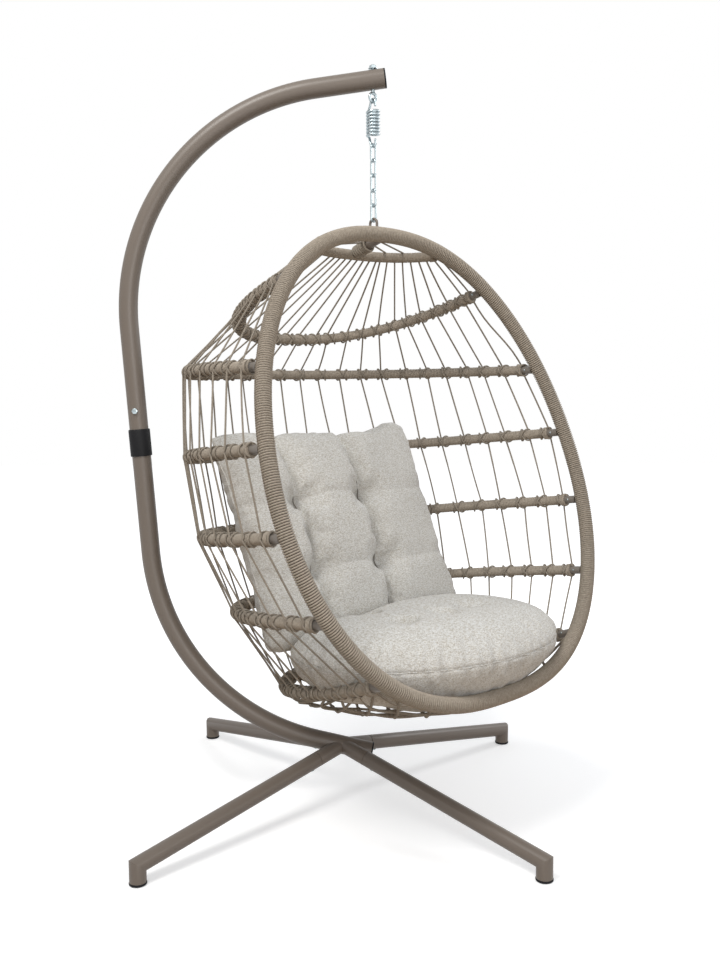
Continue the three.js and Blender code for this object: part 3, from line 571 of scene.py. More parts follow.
# %% Spring
hook_z = EYE_Z - 11 + 4 + 0.3 + 3.2
coil_top = hook_z - 9 - 14 - 4
coil_end = coil_top - 8 * 8.3
low_hook_z = coil_end - 4 - 14 - 9


def hook(apex, up):
    a = np.radians([-90, -60, -30, 0, 30, 60, 90])
    centre = apex - up * 9
    bow = np.stack([0 * a, 9 * np.sin(a), centre + up * 9 * np.cos(a)], 1)
    return np.vstack([(0, -8.1, centre - up * 7.7), bow, (0, 11.5, centre - up * 7)])


a = 2 * np.pi * np.arange(65) / 8
coil = np.stack([15.6 * np.sin(a), 15.6 * np.cos(a), coil_top - 8.3 * np.arange(65) / 8], 1)
spring_line = smooth(np.vstack([hook(hook_z, 1), coil, hook(low_hook_z, -1)[::-1]]), 6)
spring = piece("spring_wire", [sweep(*domed(spring_line, 3.2), 12)], from_basket, ZINC, None,
               ["hanging_spring"])
from_basket((0, 0, coil_top))
from_basket((0, 0, coil_end))
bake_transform(spring)

# %% [markdown]
# A link is two half circles joined by straight sides. Each link stands across the one before it, and
# hangs in it with a hair of clearance, as the part's links do.

# %% Chain
LINK_WIRE, LINK_PITCH, LINK_HALF = 2.8, 39.0, 8.0
swell = LINK_WIRE / math.cos(math.radians(22.5))
link_z = low_hook_z + 3.2 / math.cos(math.radians(15)) + 0.6
link_z += swell - LINK_PITCH / 2 - LINK_WIRE
for i in range(5):
    run = LINK_PITCH / 2 + LINK_WIRE - LINK_HALF
    across = X if i % 2 == 0 else Y
    a = np.linspace(0, math.pi, 15)[:, None]
    top = (0, 0, link_z + run) + LINK_HALF * (np.cos(a) * across + np.sin(a) * Z)
    end = (0, 0, link_z - run) - LINK_HALF * (np.cos(a) * across + np.sin(a) * Z)
    wire = sweep(np.vstack([top, end]), LINK_WIRE, 12, closed=True, start=np.cross(across, Z))
    piece(f"link_wire_{i + 1}", [wire], from_basket, ZINC, f"link_{i + 1}",
          [f"chain_link_{i + 1}"])
    pivot = link_z - LINK_PITCH / 2 - LINK_WIRE
    link_z = pivot + 2 * swell + 0.3 - LINK_PITCH / 2 - LINK_WIRE
print("the lowest link turns at", round(pivot, 1))

# %% [markdown]
# ## The basket's lines
# The egg's rim is a big hoop that leans back. Seven smaller hoops run from one side of it round
# the back to the other. Both kinds are written as superellipses, the curve between a circle and a
# rectangle, with powers that match the photograph.

# %% Rim's line
RING_TOP = pivot - 40.3
HALF_WIDTH, TOP_RISE, BOTTOM_DROP = 536, 616, 515
RING_MID = RING_TOP - TOP_RISE


def power(value, exponent):
    return np.sign(value) * np.maximum(np.abs(value), 1e-9) ** exponent


def ring_y(z):
    return 0.347 * (z - RING_TOP) - 46


BOTTOM_POWER = 0.782


def ring_line(count=4096):
    a = 2 * np.pi * np.arange(count) / count
    s = np.sin(a)
    x = HALF_WIDTH * power(np.cos(a), np.where(s > 0, 0.867, BOTTOM_POWER))
    z = RING_MID + s * np.where(s > 0, TOP_RISE, BOTTOM_DROP)
    return np.stack([x, ring_y(z), z], 1)


def ring_half(z):
    s = (z - RING_MID) / np.where(z > RING_MID, TOP_RISE, BOTTOM_DROP)
    return HALF_WIDTH * np.sqrt(np.maximum(1 - s * s, 0)) ** np.where(z > RING_MID, 0.867, BOTTOM_POWER)


# %% [markdown]
# Each hoop has four numbers: how high it meets the rim, how deep it reaches back, how far its back
# hangs below its ends, and how late it starts to drop.

# %% Hoops' lines
HOOPS = [(582.6, 143, 3, 1), (493, 450, 128, 1), (272, 650, 8, 1), (95, 665, 65, 1),
         (-93, 680, 86, 1), (-280, 669, 91, 1), (-423, 618, 148, 1.47)]


def hoop_points(i, t):
    rise, depth, drop, bend = HOOPS[i]
    z = RING_MID + rise
    back = power(np.sin(np.pi * t), 2 / 2.44)
    x = float(ring_half(z)) * power(np.cos(np.pi * t), 2 / 2.44)
    return np.stack([x, ring_y(z) + depth * back, z - drop * (1 - np.maximum(1 - back, 0) ** bend)], 1)


def even(points, count, closed=False):
    """The same path with evenly spaced points, and its length."""
    p = np.vstack([points, points[:1]]) if closed else points
    s = np.concatenate([[0], np.cumsum(np.linalg.norm(np.diff(p, axis=0), axis=1))])
    at = np.linspace(0, s[-1], count, endpoint=not closed)
    return np.stack([np.interp(at, s, p[:, k]) for k in range(3)], 1), s[-1]


fine = 0.5 - 0.5 * np.cos(np.pi * np.linspace(0, 1, 1601))
HOOP_LINES, HOOP_LENGTHS = zip(*[even(hoop_points(i, fine), 1201) for i in range(7)])
RIM, RIM_LENGTH = even(ring_line(), 4096, closed=True)
print("rim", round(RIM_LENGTH), "mm; hoops", [round(s) for s in HOOP_LENGTHS], "mm")

# %% [markdown]
# ## Winding cord round a tube
# A winding is one long helix that follows the tube. The helper walks along the tube, steps round
# it and keeps the flat side of the cord against the tube. Real windings are never perfect, so the
# radius and the advance vary a little. The rim takes more than 600 turns: in a texture these would
# blur, but as a mesh each turn catches the light.

# %% Winding helper
random = np.random.default_rng(7)


def wander(count, size, knots):
    """A slow random drift, one value per point."""
    return np.interp(np.linspace(0, 1, count), np.linspace(0, 1, knots), random.normal(0, size, knots))


def wind(core, radius, turns, thick, wide, steps=14, sides=6, closed=False, start=None, rough=0.12):
    """A cord of oval section wound evenly round a core path."""
    count = int(turns * steps)
    line, length = even(core, count if closed else count + 1, closed)
    t, n, b = carried(line, closed, start)
    a = 2 * np.pi * np.arange(len(line)) / steps
    out = n * np.cos(a)[:, None] + b * np.sin(a)[:, None]
    lift = wander(len(line), rough, max(int(turns), 2))
    if closed:
        lift *= np.minimum(1, np.minimum(np.arange(len(line)), np.arange(len(line))[::-1]) / steps)
    shifted = line + t * wander(len(line), rough * 1.6, max(int(turns * 1.3), 2))[:, None]
    path = shifted + out * (radius + lift)[:, None]
    return sweep(path, wide, sides, closed, side=out, flat=thick / wide)


def along_path(line, low, high, count=400):
    """A stretch of a path, from one share of its length to another."""
    at = np.linspace(low, high, count) * (len(line) - 1)
    return np.stack([np.interp(at, np.arange(len(line)), line[:, k]) for k in range(3)], 1)


# %% [markdown]
# The rim's steel tube lies under its winding. It is made too, nearly black, as painted shade that
# shows between the turns and makes the gaps look deep.

# %% Rim
rim_turns = 636
rim = wind(RIM, 17.1, rim_turns, 2.9, RIM_LENGTH / rim_turns / 2 * 0.87, 14, 6, closed=True, rough=0.05)
piece("rim_winding", [rim], from_basket, WOUND, "basket", ["front_ring"])
# The rim's tube is nearly black: painted shade seen between the turns.
piece("rim_tube", [sweep(RIM[::8], 16.4, 16, closed=True)], from_basket, GAP_SHADE, "basket")

# %% [markdown]
# ## Hoops
# A hoop is a bare painted tube where it meets the rim, with a screw in its end. A short tight coil
# comes next, and then an even winding round to the other side. The top hoop is wound more coarsely
# than the rest, because all the upright cords start on it.

# %% Hoops
HOOP_NAMES = ["top_hoop", "hoop_1", "hoop_2", "hoop_3", "hoop_4", "hoop_5", "bottom_hoop"]


def share_clear_of_rim(i, clear=20.0):
    """Share of a hoop's length at which it comes out of the rim's winding."""
    gap = np.min(np.linalg.norm(HOOP_LINES[i][:200, None] - RIM[None, ::8], axis=2), axis=1)
    return np.argmax(gap > clear) / 1200


hoop_starts = [share_clear_of_rim(i) for i in range(7)]
screws, wound_starts = [], []
COIL_TURNS, COIL_PITCH = 3.5, 4.6
for i, name in enumerate(HOOP_NAMES):
    line, length = HOOP_LINES[i], HOOP_LENGTHS[i]
    first = hoop_starts[i]
    bare = 4 if i == 0 else 30
    wound = first + bare / length
    wound_starts.append(wound)
    pitch = 4.6 if i == 0 else 5.1
    core = along_path(line, wound, 1 - wound, 1201)
    turns = round((1 - 2 * wound) * length / pitch)
    shapes = [wind(core, 12.5 if i else 11.9, turns, 1.5 if i else 2.1, pitch / 2 * 1.02, 12, 6, rough=0.05)]
    low = wound + 1 / length
    for walk in (line, line[::-1]):
        end = along_path(walk, low, low + COIL_TURNS * COIL_PITCH / length, 60)
        shapes.append(wind(end, 15.4 if i else 14.2, COIL_TURNS, 2.1, 2.35, 14, 6))
    piece(f"{name}_winding", shapes, from_basket, WOUND, "basket", [name])
    tube = along_path(line, first - 1.2 / length, 1 - first + 1.2 / length, 241)
    piece(f"{name}_tube", [sweep(tube, 10.8 if i else 10.2, 20)], from_basket, BARE, "basket")
    if i:
        for walk in (line, line[::-1]):
            at = along_path(walk, first + 20 / length, first + 21 / length, 2)
            inward = unit(np.array([0, 120, at[0, 2]]) - at[0])
            inward = unit(inward - unit(at[1] - at[0]) * (inward @ unit(at[1] - at[0])))
            screws.append(lathe([(2.6, 9), (2.6, 11.2), (2.0, 11.6), (0, 11.7)], at[0], inward, 16))
piece("hoop_screws", screws, from_basket, ZINC, "basket")
print("hoops come out of the rim at shares", [round(s, 3) for s in hoop_starts])

# %% [markdown]
# ## Top bar and basket eye
# A short bar joins the rim's top to the top hoop and carries the bent rod that hangs on the last
# link. Cord is wound round the bar's rear half in seven thick turns.

# %% Top bar
bar_start = np.array([0, -46, RING_TOP])
bar_end = hoop_points(0, np.array([0.5]))[0]
bar_along = unit(bar_end - bar_start)
bar_length = np.linalg.norm(bar_end - bar_start)
bar = sweep([bar_start + bar_along * 20.4, bar_end - bar_along * 14.4], 11, 32)
piece("bar_tube", [bar], from_basket, PAINT, "basket", ["top_bar"])
wound_to, bar_turns, bar_pitch = bar_length - 19, 7, 7.6
bar_core = bar_start + bar_along * np.linspace(wound_to - bar_turns * bar_pitch, wound_to, 40)[:, None]
piece("bar_cord", [wind(bar_core, 14.6, bar_turns, 3.3, 3.3, 20, 8, rough=0.7)], from_basket, CORD, "basket",
      ["bar_winding"])

# %% [markdown]
# The basket's eye is a bent steel rod, welded to the bar with both feet, through which the last link
# passes.

# %% Basket eye
bar_top = bar_start + bar_along * 46 / bar_along[1]
eye_z = pivot + swell + 0.3 + 3.6 / math.cos(math.radians(15)) - 13
foot = [bar_top[2] + 9.5 / bar_along[1] + y * bar_along[2] / bar_along[1] for y in (13, -13)]
a = np.radians(np.arange(0, 181, 12))
bow = np.stack([0 * a, 13 * np.cos(a), eye_z + 13 * np.sin(a)], 1)
piece("eye_rod", [sweep(np.vstack([(0, 13, foot[0]), bow, (0, -13, foot[1])]), 3.6, 16)], from_basket, PAINT,
      "basket", ["basket_eye"])

# %% [markdown]
# ## Lacing
# Twenty-seven cords run down the egg. Each is one cord: at every hoop it goes twice round and
# crosses itself, which shows as an X on the inside, and then it carries on to the next hoop. The
# path round a hoop is a spiral whose shift along the hoop swings out and back, and the second pass
# is lifted where it lies on the first.

# %% Lacing
CORD_R, HOOP_R, CORDS = 2.4, 14.0, 27


def at_hoop(i, share):
    """Centre, direction along, outwards and upwards of a hoop at a share of its length."""
    line = HOOP_LINES[i]
    p = along_path(line, share, share, 1)[0]
    before, after = along_path(line, share - 0.002, min(share + 0.002, 1), 2)
    ahead = unit(after - before)
    out = unit(np.array([-ahead[1], ahead[0], 0.0]))
    if out @ (p - (0, 100, p[2])) < 0:
        out = -out
    up = np.cross(ahead, out)
    return p, ahead, out, up if up[2] > 0 else -up


def hitch(i, share, width, lift=22.0):
    """The cord's path twice round a hoop, from above to below on the outside."""
    p, ahead, out, up = at_hoop(i, share)
    a = np.radians(np.linspace(lift, lift - 720 - 2 * lift, 46))
    turn = (a[0] - a) / (a[0] - a[-1])
    shift = width * np.cos(2 * np.pi * turn) * np.minimum(1, 6 * np.minimum(turn, 1 - turn) + 0.25)
    over = np.exp(-(((np.degrees(a) + 540) / 32) ** 2))
    radius = HOOP_R + CORD_R + 3.2 * over + wander(len(a), 0.15, 6)
    return p + np.outer(shift, ahead) + np.outer(radius * np.cos(a), out) + np.outer(radius * np.sin(a), up)


# %% [markdown]
# No two real cords run alike, so every crossing gets a width and a sense by lot, and every stretch
# between two hoops a slight bow. The first cord hangs slack over the second hoop, as it does in the
# photograph.

# %% All cords
SLACK = (2, 0)
cord_shapes = []
for k in range(CORDS):
    share = 0.034 + 0.932 * k / (CORDS - 1)
    p, ahead, out, up = at_hoop(0, share)
    start = p + out * 10 * math.cos(0.5) - up * 10 * math.sin(0.5)
    path = [start[None]]
    for i in range(1, 7):
        end = wound_starts[i] + 9 / HOOP_LENGTHS[i]
        width = random.uniform(15, 21) * random.choice((-1, 1)) if end < share < 1 - end else 7
        knot = hitch(i, min(max(share + random.normal(0, 0.0012), end), 1 - end), width)
        gap = np.linspace(0, 1, 9)[1:-1, None]
        run = path[-1][-1] + (knot[0] - path[-1][-1]) * gap
        bow = random.normal(0, 1.2) * np.sin(np.pi * gap)
        if (i, k) == SLACK:
            bow = (bow + 14 * np.sin(np.pi * gap)) * np.cos(np.pi * gap)
        run += ahead * bow
        path += [run, knot]
    cord_shapes.append(sweep(np.vstack(path), CORD_R, 6))
piece("lacing", cord_shapes, from_basket, CORD, "basket", [f"cord_panel_{i}" for i in range(1, 7)])

# %% [markdown]
# Three more cords are strung at the very top: one from the rim to the bar, and two from the bar's
# root to the top hoop.

# %% Extra cords at the top
def rim_at(x):
    top = RIM[RIM[:, 2] > RING_MID]
    return top[np.argmin(np.abs(top[:, 0] - x))]


up_hoop = (0, 0, 13)
extra = [sweep([rim_at(-178) + (0, 14, -14), bar_start + bar_along * 84 + up_hoop], 2.3, 8),
         sweep([bar_start + bar_along * 58, hoop_points(0, np.array([0.34]))[0] + up_hoop], 2.3, 8),
         sweep([rim_at(-12) + (0, 14, -14), hoop_points(0, np.array([0.24]))[0] + up_hoop], 2.3, 8)]
piece("top_cords", extra, from_basket, CORD, "basket")

# %% [markdown]
# ## The net under the seat
# Ropes cross each other in diamonds between the rim and the bottom hoop and sag like a hammock.
# Each rope follows one diagonal of the grid, passes over and under the others by turns, and ends in
# a loop round the bottom hoop.

# %% Net
COLUMNS, ROWS, SPAN, SAG = 12, 10, 0.93, 68
rim_reach = float(ring_half(RING_MID + HOOPS[6][0]))


def net_share(u):
    """Where a column of the net meets the bottom hoop, as the hoop's own 0 to 1."""
    return math.acos(np.sign(u) * abs(SPAN * u) ** 1.22) / math.pi


def net_point(u, v):
    x = rim_reach * SPAN * u
    rear = hoop_points(6, np.array([net_share(u)]))[0] - (0, 0, 15)
    s = -math.sqrt(max(1 - (abs(x) / HALF_WIDTH) ** (2 / BOTTOM_POWER), 0))
    front_z = RING_MID + s * BOTTOM_DROP
    front = np.array([x, ring_y(front_z) + 20.3, front_z + 3])
    p = front + (rear - front) * v
    return np.array([x, p[1], p[2] - 3 - SAG * (1 - u * u) ** 0.75 * (4 * v * (1 - v)) ** 0.6])


def net_rope(column, row, step, family):
    """One diagonal rope from a border knot, up to the next border."""
    path = []
    while 0 <= column <= COLUMNS and 0 <= row <= ROWS:
        side = 1 if (row + family) % 2 else -1
        path.append(net_point(2 * column / COLUMNS - 1, row / ROWS) + (0, 0, side * 1.8))
        column, row = column + step, row + 1
    return path


# %% [markdown]
# Two families of ropes cross, and a small loop of thinner rope ties each crossing. A border rope runs
# down either side, and two turns of rope tie each column to the hoop.

# %% Net's ropes
ropes = []
for family, step in ((0, 1), (1, -1)):
    starts = [(c, 0) for c in range(0, COLUMNS + 1, 2)]
    starts += [((0 if step > 0 else COLUMNS), r) for r in range(2, ROWS, 2)]
    for column, row in starts:
        path = net_rope(column, row, step, family)
        if len(path) > 1:
            ropes.append(sweep(smooth(path, 6), 3.5, 8))
for row in range(1, ROWS):
    for column in range(2 + row % 2, COLUMNS + 1, 2):
        p = net_point(2 * column / COLUMNS - 1, row / ROWS)
        for tilt in (0.6, -0.6):
            loop = circle(4.6, p, (math.cos(tilt), math.sin(tilt), 0), Z, 10)
            ropes.append(sweep(loop, 2.3, 6, closed=True))
border = [net_point(-1, v) for v in np.linspace(0, 1, 9)]
ropes.append(sweep(smooth(border, 4), 2.9, 8))
ropes.append(sweep(smooth([p * (-1, 1, 1) for p in border], 4), 2.9, 8))
for column in range(COLUMNS + 1):
    p = hoop_points(6, np.array([net_share(2 * column / COLUMNS - 1)]))[0]
    share = np.argmin(np.linalg.norm(HOOP_LINES[6] - p, axis=1)) / 1200
    p, ahead, out, up = at_hoop(6, share)
    core = p + ahead * np.linspace(-5, 5, 20)[:, None]
    ropes.append(wind(core, 17.2, 2, 2.6, 2.6, 16, 8))
piece("net", ropes, from_basket, CORD, "basket", ["bottom_net"])

# %% [markdown]
# ## Cushions
# A filled cover is pulled in where it is sewn or tufted and swells between. The base form is the
# CAD cushion drawn finer. It is remeshed into even squares and then inflated by the cloth solver:
# the seams and tufts are pinned, the cover has a little more fabric than it needs, and pressure
# pushes it out, so folds gather round the tufts as they do on a real cushion.

# %% Cushion forms
def pillow(columns, rows, sheet):
    """Corners and faces of two sheets that share their border."""
    u, v = np.meshgrid(np.linspace(-1, 1, columns + 1), np.linspace(-1, 1, rows + 1), indexing="ij")
    top, low = sheet(u, v, 1).reshape(-1, 3), sheet(u, v, -1).reshape(-1, 3)
    index = np.arange((columns + 1) * (rows + 1)).reshape(columns + 1, rows + 1)
    border = np.ones_like(index, bool)
    border[1:-1, 1:-1] = False
    under = index.copy()
    under[~border] = len(top) + np.arange((~border).sum())
    corners = np.vstack([top, low.reshape(columns + 1, rows + 1, 3)[~border]])
    faces = []
    for grid, flip in ((index, False), (under, True)):
        a, b, c, d = grid[:-1, :-1], grid[1:, :-1], grid[1:, 1:], grid[:-1, 1:]
        quads = np.stack([a, d, c, b] if flip else [a, b, c, d], -1).reshape(-1, 4)
        faces += quads.tolist()
    return corners, faces


def dip(distance, width):
    """1 at no distance, and soon 0 past the width."""
    return np.exp(-((distance / width) ** 2))


# %% [markdown]
# The back cushion is a square pillow with two seams from top to bottom. Four tufts sit on them, where
# two creases cross. The seat is a round pillow, which the back cushion presses flat behind.

# %% Back and seat forms
SEAMS, CREASES = (-0.47, 0.19), (-0.4, 0.29)


def pulled(u, v):
    """How far the back cushion's seams, creases and tufts pull its cover in, 0 to 1."""
    pull = np.zeros_like(u)
    for a in SEAMS:
        pull = np.maximum(pull, 0.56 * dip(u - a, 0.05))
        for b in CREASES:
            pull = np.maximum(pull, 0.08 * dip(v - b, 0.08))
            pull = np.maximum(pull, 0.8 * dip(np.hypot(u - a, v - b), 0.12))
    return pull


def back_form(u, v, side):
    fill = ((1 - u * u) * (1 - v * v)) ** 0.36
    depth = (86 if side > 0 else 94) * fill * (1 - pulled(u, v))
    column = np.abs(np.cos(1.5 * np.pi * (u + 0.14 * (1 - u * u)))) ** 0.7
    row = np.abs(np.cos(1.5 * np.pi * (v + 0.05 * (1 - v * v)))) ** 0.7
    x = 354 * u * (1 - 0.04 * (1 - v * v) + 0.01 * row * u ** 8)
    lift = 0.035 * (column - u ** 8) * v ** 6 + 0.085 * dip(u - 0.86, 0.24) * np.maximum(v, 0) ** 5
    return np.stack([x, -side * depth, 290 * v * (1 - 0.04 * (1 - u * u) + lift)], -1)


def seat_form(u, v, side):
    a, b = u * np.sqrt(1 - v * v / 2), v * np.sqrt(1 - u * u / 2)
    r = np.minimum(np.hypot(a, b), 1)
    s = np.clip((b - 0.3) / 0.45, 0, 1)
    crown = 85 * (1 - 0.85 * s * s * (3 - 2 * s)) * (1 - r ** 3) ** 0.5
    belly = 174 * (1 - r ** 1.5) ** 0.9 + 44 * np.clip((r - 0.6) / 0.3, 0, 1) * (1 - r ** 12) ** 0.5
    return np.stack([375 * a, 306 * b, crown if side > 0 else -belly], -1)


def tilted(points, degrees, centre):
    """Turned about X by minus degrees and moved to its place in the basket."""
    c, s = math.cos(math.radians(-degrees)), math.sin(math.radians(-degrees))
    turn = np.array([[1, 0, 0], [0, c, -s], [0, s, c]])
    return np.asarray(points) @ turn.T + centre


# %% [markdown]
# The solver works on the cushion where it lies flat in its own frame, without gravity, for twenty
# frames. No corner may end more than a few millimetres away from the base form, which keeps the
# cushion clear of the cords. One subdivision smooths the result.

# %% Inflate a cushion
def inflated(name, form, pinned, detail, voxel=7.6, cap=9.0):
    corners, faces = pillow(96, 96, form)
    mesh = bpy.data.meshes.new(name)
    mesh.from_pydata((corners / 1000).tolist(), [], faces)
    made = bpy.data.objects.new(name, mesh)
    bpy.context.scene.collection.objects.link(made)
    bpy.context.view_layer.objects.active = made
    remesh = made.modifiers.new("even squares", "REMESH")
    remesh.mode, remesh.voxel_size = "VOXEL", voxel / 1000
    bpy.ops.object.modifier_apply(modifier=remesh.name)
    base = np.array([v.co for v in made.data.vertices]) * 1000
    weights = pinned(base)
    group = made.vertex_groups.new(name="pinned")
    for i in np.nonzero(weights > 0.02)[0]:
        group.add([int(i)], float(weights[i]), "REPLACE")
    cloth = made.modifiers.new("cover", "CLOTH")
    cloth.settings.quality = 5
    cloth.settings.mass = 0.3
    cloth.settings.tension_stiffness = cloth.settings.compression_stiffness = 12
    cloth.settings.shear_stiffness, cloth.settings.bending_stiffness = 4, 0.3
    cloth.settings.vertex_group_mass = group.name
    cloth.settings.shrink_min = -0.035
    cloth.settings.use_pressure = True
    cloth.settings.uniform_pressure_force = 4
    cloth.settings.effector_weights.gravity = 0
    cloth.collision_settings.use_collision = False
    cloth.point_cache.frame_end = 20
    for f in range(1, 21):
        bpy.context.scene.frame_set(f)
    shown = made.evaluated_get(bpy.context.evaluated_depsgraph_get())
    swollen = np.array([v.co for v in shown.data.vertices]) * 1000
    made.modifiers.remove(cloth)
    bpy.context.scene.frame_set(1)
    moved = swollen - base
    far = np.linalg.norm(moved, axis=1, keepdims=True)
    base = base + moved * np.minimum(1, cap / np.maximum(far, 1e-9))
    print(f"{name} moved {far.mean():.1f} mm on average, at most {far.max():.1f}")
    made.data.vertices.foreach_set("co", (base / 1000).ravel())
    made.vertex_groups.clear()
    subdivision = made.modifiers.new("smooth", "SUBSURF")
    subdivision.levels = 1
    bpy.ops.object.modifier_apply(modifier=subdivision.name)
    points = np.array([v.co for v in made.data.vertices]) * 1000
    points += np.array([v.normal for v in made.data.vertices]) * detail(points)[:, None]
    made.data.vertices.foreach_set("co", (points / 1000).ravel())
    made.data.polygons.foreach_set("use_smooth", [True] * len(made.data.polygons))
    return made


def settle(made, degrees, centre, node, seam, seam_shade_lines=()):
    """Puts an inflated cushion in its place and adds its seams: a thin ridge and sunken dark lines of
    painted shade.
    """
    points = np.array([v.co for v in made.data.vertices]) * 1000
    tree = KDTree(len(points))
    for i, p in enumerate(points):
        tree.insert(p, i)
    tree.balance()
    seam = np.array([points[tree.find(p)[1]] for p in seam])
    seam = (seam + np.roll(seam, 1, 0) + np.roll(seam, -1, 0)) / 3
    ridge = sweep(seam, 1.7, 8, closed=True)
    lines = []
    # Each line down a seam is dark: painted shade in the seam's valley.
    for line in seam_shade_lines:
        line = np.array([points[tree.find(p)[1]] for p in line])
        for _ in range(3):
            line[1:-1] = (line[:-2] + line[1:-1] * 2 + line[2:]) / 4
        lines.append(sweep(line, 1.5, 6))
    made.data.vertices.foreach_set("co", from_basket(tilted(points, degrees, centre)).ravel())
    made.data.update()
    made.data.materials.append(LINEN)
    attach(made, "basket")
    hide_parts(node)

    def place(corners):
        return from_basket(tilted(corners, degrees, centre))

    piece(f"{made.name}_seam", [ridge], place, LINEN, "basket")
    # The seam lines carry the dark finish of painted shade.
    if lines:
        piece(f"{made.name}_stitches", lines, place, SEAM_SHADE, "basket")
    print(made.name, len(made.data.polygons), "faces")
    return made


# %% [markdown]
# The solver needs to know what is sewn down. Pins hold the seams and the tufts, and let all else go.

# %% Pins
SEAT_TUFTS = [(-125, -50), (-112, 95), (5, -62), (112, -50)]


def back_pins(p):
    u, v = p[:, 0] / 340, p[:, 2] / 280
    weight = np.zeros(len(p))
    for a in SEAMS:
        weight = np.maximum(weight, dip(u - a, 0.022) * (np.abs(v) < 0.97))
        for b in CREASES:
            weight = np.maximum(weight, dip(np.hypot(u - a, v - b), 0.06))
    return weight


def seat_pins(p):
    u, v = p[:, 0] / 375, p[:, 1] / 306
    weight = dip((np.hypot(u, v) - 1), 0.012)
    for x, y in SEAT_TUFTS:
        weight = np.maximum(weight, dip(np.hypot(p[:, 0] - x, p[:, 1] - y), 20) * (p[:, 2] > 0))
    return weight


# %% [markdown]
# The cover's finest forms are smaller than the solver's squares: the crisp line of a seam, the rays
# round a tuft, and the puckers that a thread makes along an edge. They are pushed in afterwards,
# along the surface's own direction, so they are real relief and not a painted one.

# %% Fine folds
def folds(a, waves, size):
    """An uneven ripple, as gathered cloth makes, along a coordinate a."""
    made = np.zeros_like(a)
    for k in waves:
        made += np.sin(k * a + random.uniform(0, 6.3)) * random.uniform(0.5, 1)
    return size * made / math.sqrt(len(waves))


def back_detail(p):
    """Crisp creases along the seams, gathers round the tufts and puckers along the edges."""
    u, v = p[:, 0] / (354 - 18 * (1 - (p[:, 2] / 290) ** 2)), p[:, 2] / 290
    made = np.zeros(len(p))
    for a in SEAMS:
        made -= 7 * dip(u - a - 0.012 * np.sin(5 * v), 0.016) * (np.abs(v) < 0.98)
        for b in CREASES:
            made -= 0.9 * dip(v - b - 0.02 * np.sin(4 * u + 9 * b), 0.02) * (np.abs(u) < 0.9)
            x, z = (u - a) * 340, (v - b) * 280
            far = np.hypot(x, z)
            rays = folds(np.arctan2(z, x), (5, 8, 11), 1.5)
            made += rays * np.exp(-far / 45) * np.clip(far / 15 - 0.5, 0, 1)
    made += folds(v * 9, (2, 3.3, 5.1, 7.7), 2.0) * dip(1 - np.abs(u), 0.12)
    made += folds(u * 9, (2, 3.3, 5.1, 7.7), 1.6) * dip(1 - np.abs(v), 0.12)
    return made


def seat_detail(p):
    """Gathers above and below the front seam, and round the tufts."""
    a, b = p[:, 0] / 375, p[:, 1] / 306
    r, turn = np.hypot(a, b), np.arctan2(b, a)
    made = folds(turn, (19, 27, 38, 51, 64), 3.2) * dip(1 - r, 0.12)
    made -= 3.5 * dip(p[:, 2], 3.5) * (r > 0.9)
    for x, y in SEAT_TUFTS:
        far = np.hypot(p[:, 0] - x, p[:, 1] - y)
        made -= (20 * dip(far, 24) + 9 * dip(far, 75)) * (p[:, 2] > 0)
        rays = folds(np.arctan2(p[:, 1] - y, p[:, 0] - x), (4, 7, 10), 1.6)
        made += rays * np.exp(-far / 50) * (p[:, 2] > 0) * np.clip(far / 15 - 0.5, 0, 1)
    return made


# %% [markdown]
# Each cushion gets its edge seam where its two sheets meet, and the back cushion a dark line of painted
# shade down each seam. Both are swept along the nearest corners of the inflated cover, so they lie on it.

# %% Make both cushions
edge_u = np.linspace(-1, 1, 81)[:-1]
square = np.concatenate([np.stack([edge_u, -1 + 0 * edge_u], 1), np.stack([1 + 0 * edge_u, edge_u], 1),
                         np.stack([-edge_u, 1 + 0 * edge_u], 1), np.stack([-1 + 0 * edge_u, -edge_u], 1)])
back = inflated("back_cushion_cover", back_form, back_pins, back_detail)
rise = np.linspace(-0.93, 0.95, 60)
columns = [back_form(a + 0.012 * np.sin(5 * rise), rise, 1) for a in SEAMS]
settle(back, 24, np.array([0, 134, RING_MID - 168.8]), "back_cushion", back_form(*square.T, 1), columns)
seat = inflated("seat_cushion_cover", seat_form, seat_pins, seat_detail)
settle(seat, 3, np.array([10, -180, RING_MID - 428.4]), "seat_cushion", seat_form(*square.T, 1))

# %% [markdown]
# ## Camera
# The camera was solved from points on the photograph whose places on the chair are known. It
# stands a little over a metre high and looks down by five degrees.

# %% Camera
cam_data = bpy.data.cameras.new("camera")
cam_data.sensor_width, cam_data.sensor_fit, cam_data.lens = 36, "AUTO", 37.156
camera = bpy.data.objects.new("camera", cam_data)
bpy.context.scene.collection.objects.link(camera)
yaw, pitch, roll = (math.radians(a) for a in (1.822, 5.269, -0.347))
ahead = np.array([math.cos(yaw), math.sin(yaw), 0])
right = np.array([math.sin(yaw), -math.cos(yaw), 0])
view = ahead * math.cos(pitch) - Z * math.sin(pitch)
over = ahead * math.sin(pitch) + Z * math.cos(pitch)
right, over = right * math.cos(roll) + over * math.sin(roll), over * math.cos(roll) - right * math.sin(roll)
matrix = np.eye(4)
matrix[:3, 0], matrix[:3, 1], matrix[:3, 2] = right, over, -view
matrix[:3, 3] = HANG + (-2.641327, -0.044439, 1.13046)
camera.matrix_world = Matrix(matrix.tolist())
bpy.context.scene.camera = camera

# %% [markdown]
# ## Light and background
# The photograph is a cut-out on pure white, lit softly from the left and above. The background is
# white where the camera or a shiny surface sees it. To everything else the surroundings are a softer
# grey and the floor a warm beige, so the undersides of the tubes turn brown and dark as they do in
# the photograph. The camera sees the floor as a matt white sheet that glows a little, and glows more
# further out, where the lamps no longer reach. It is just bright enough to vanish, and near the chair
# it keeps a soft shadow.

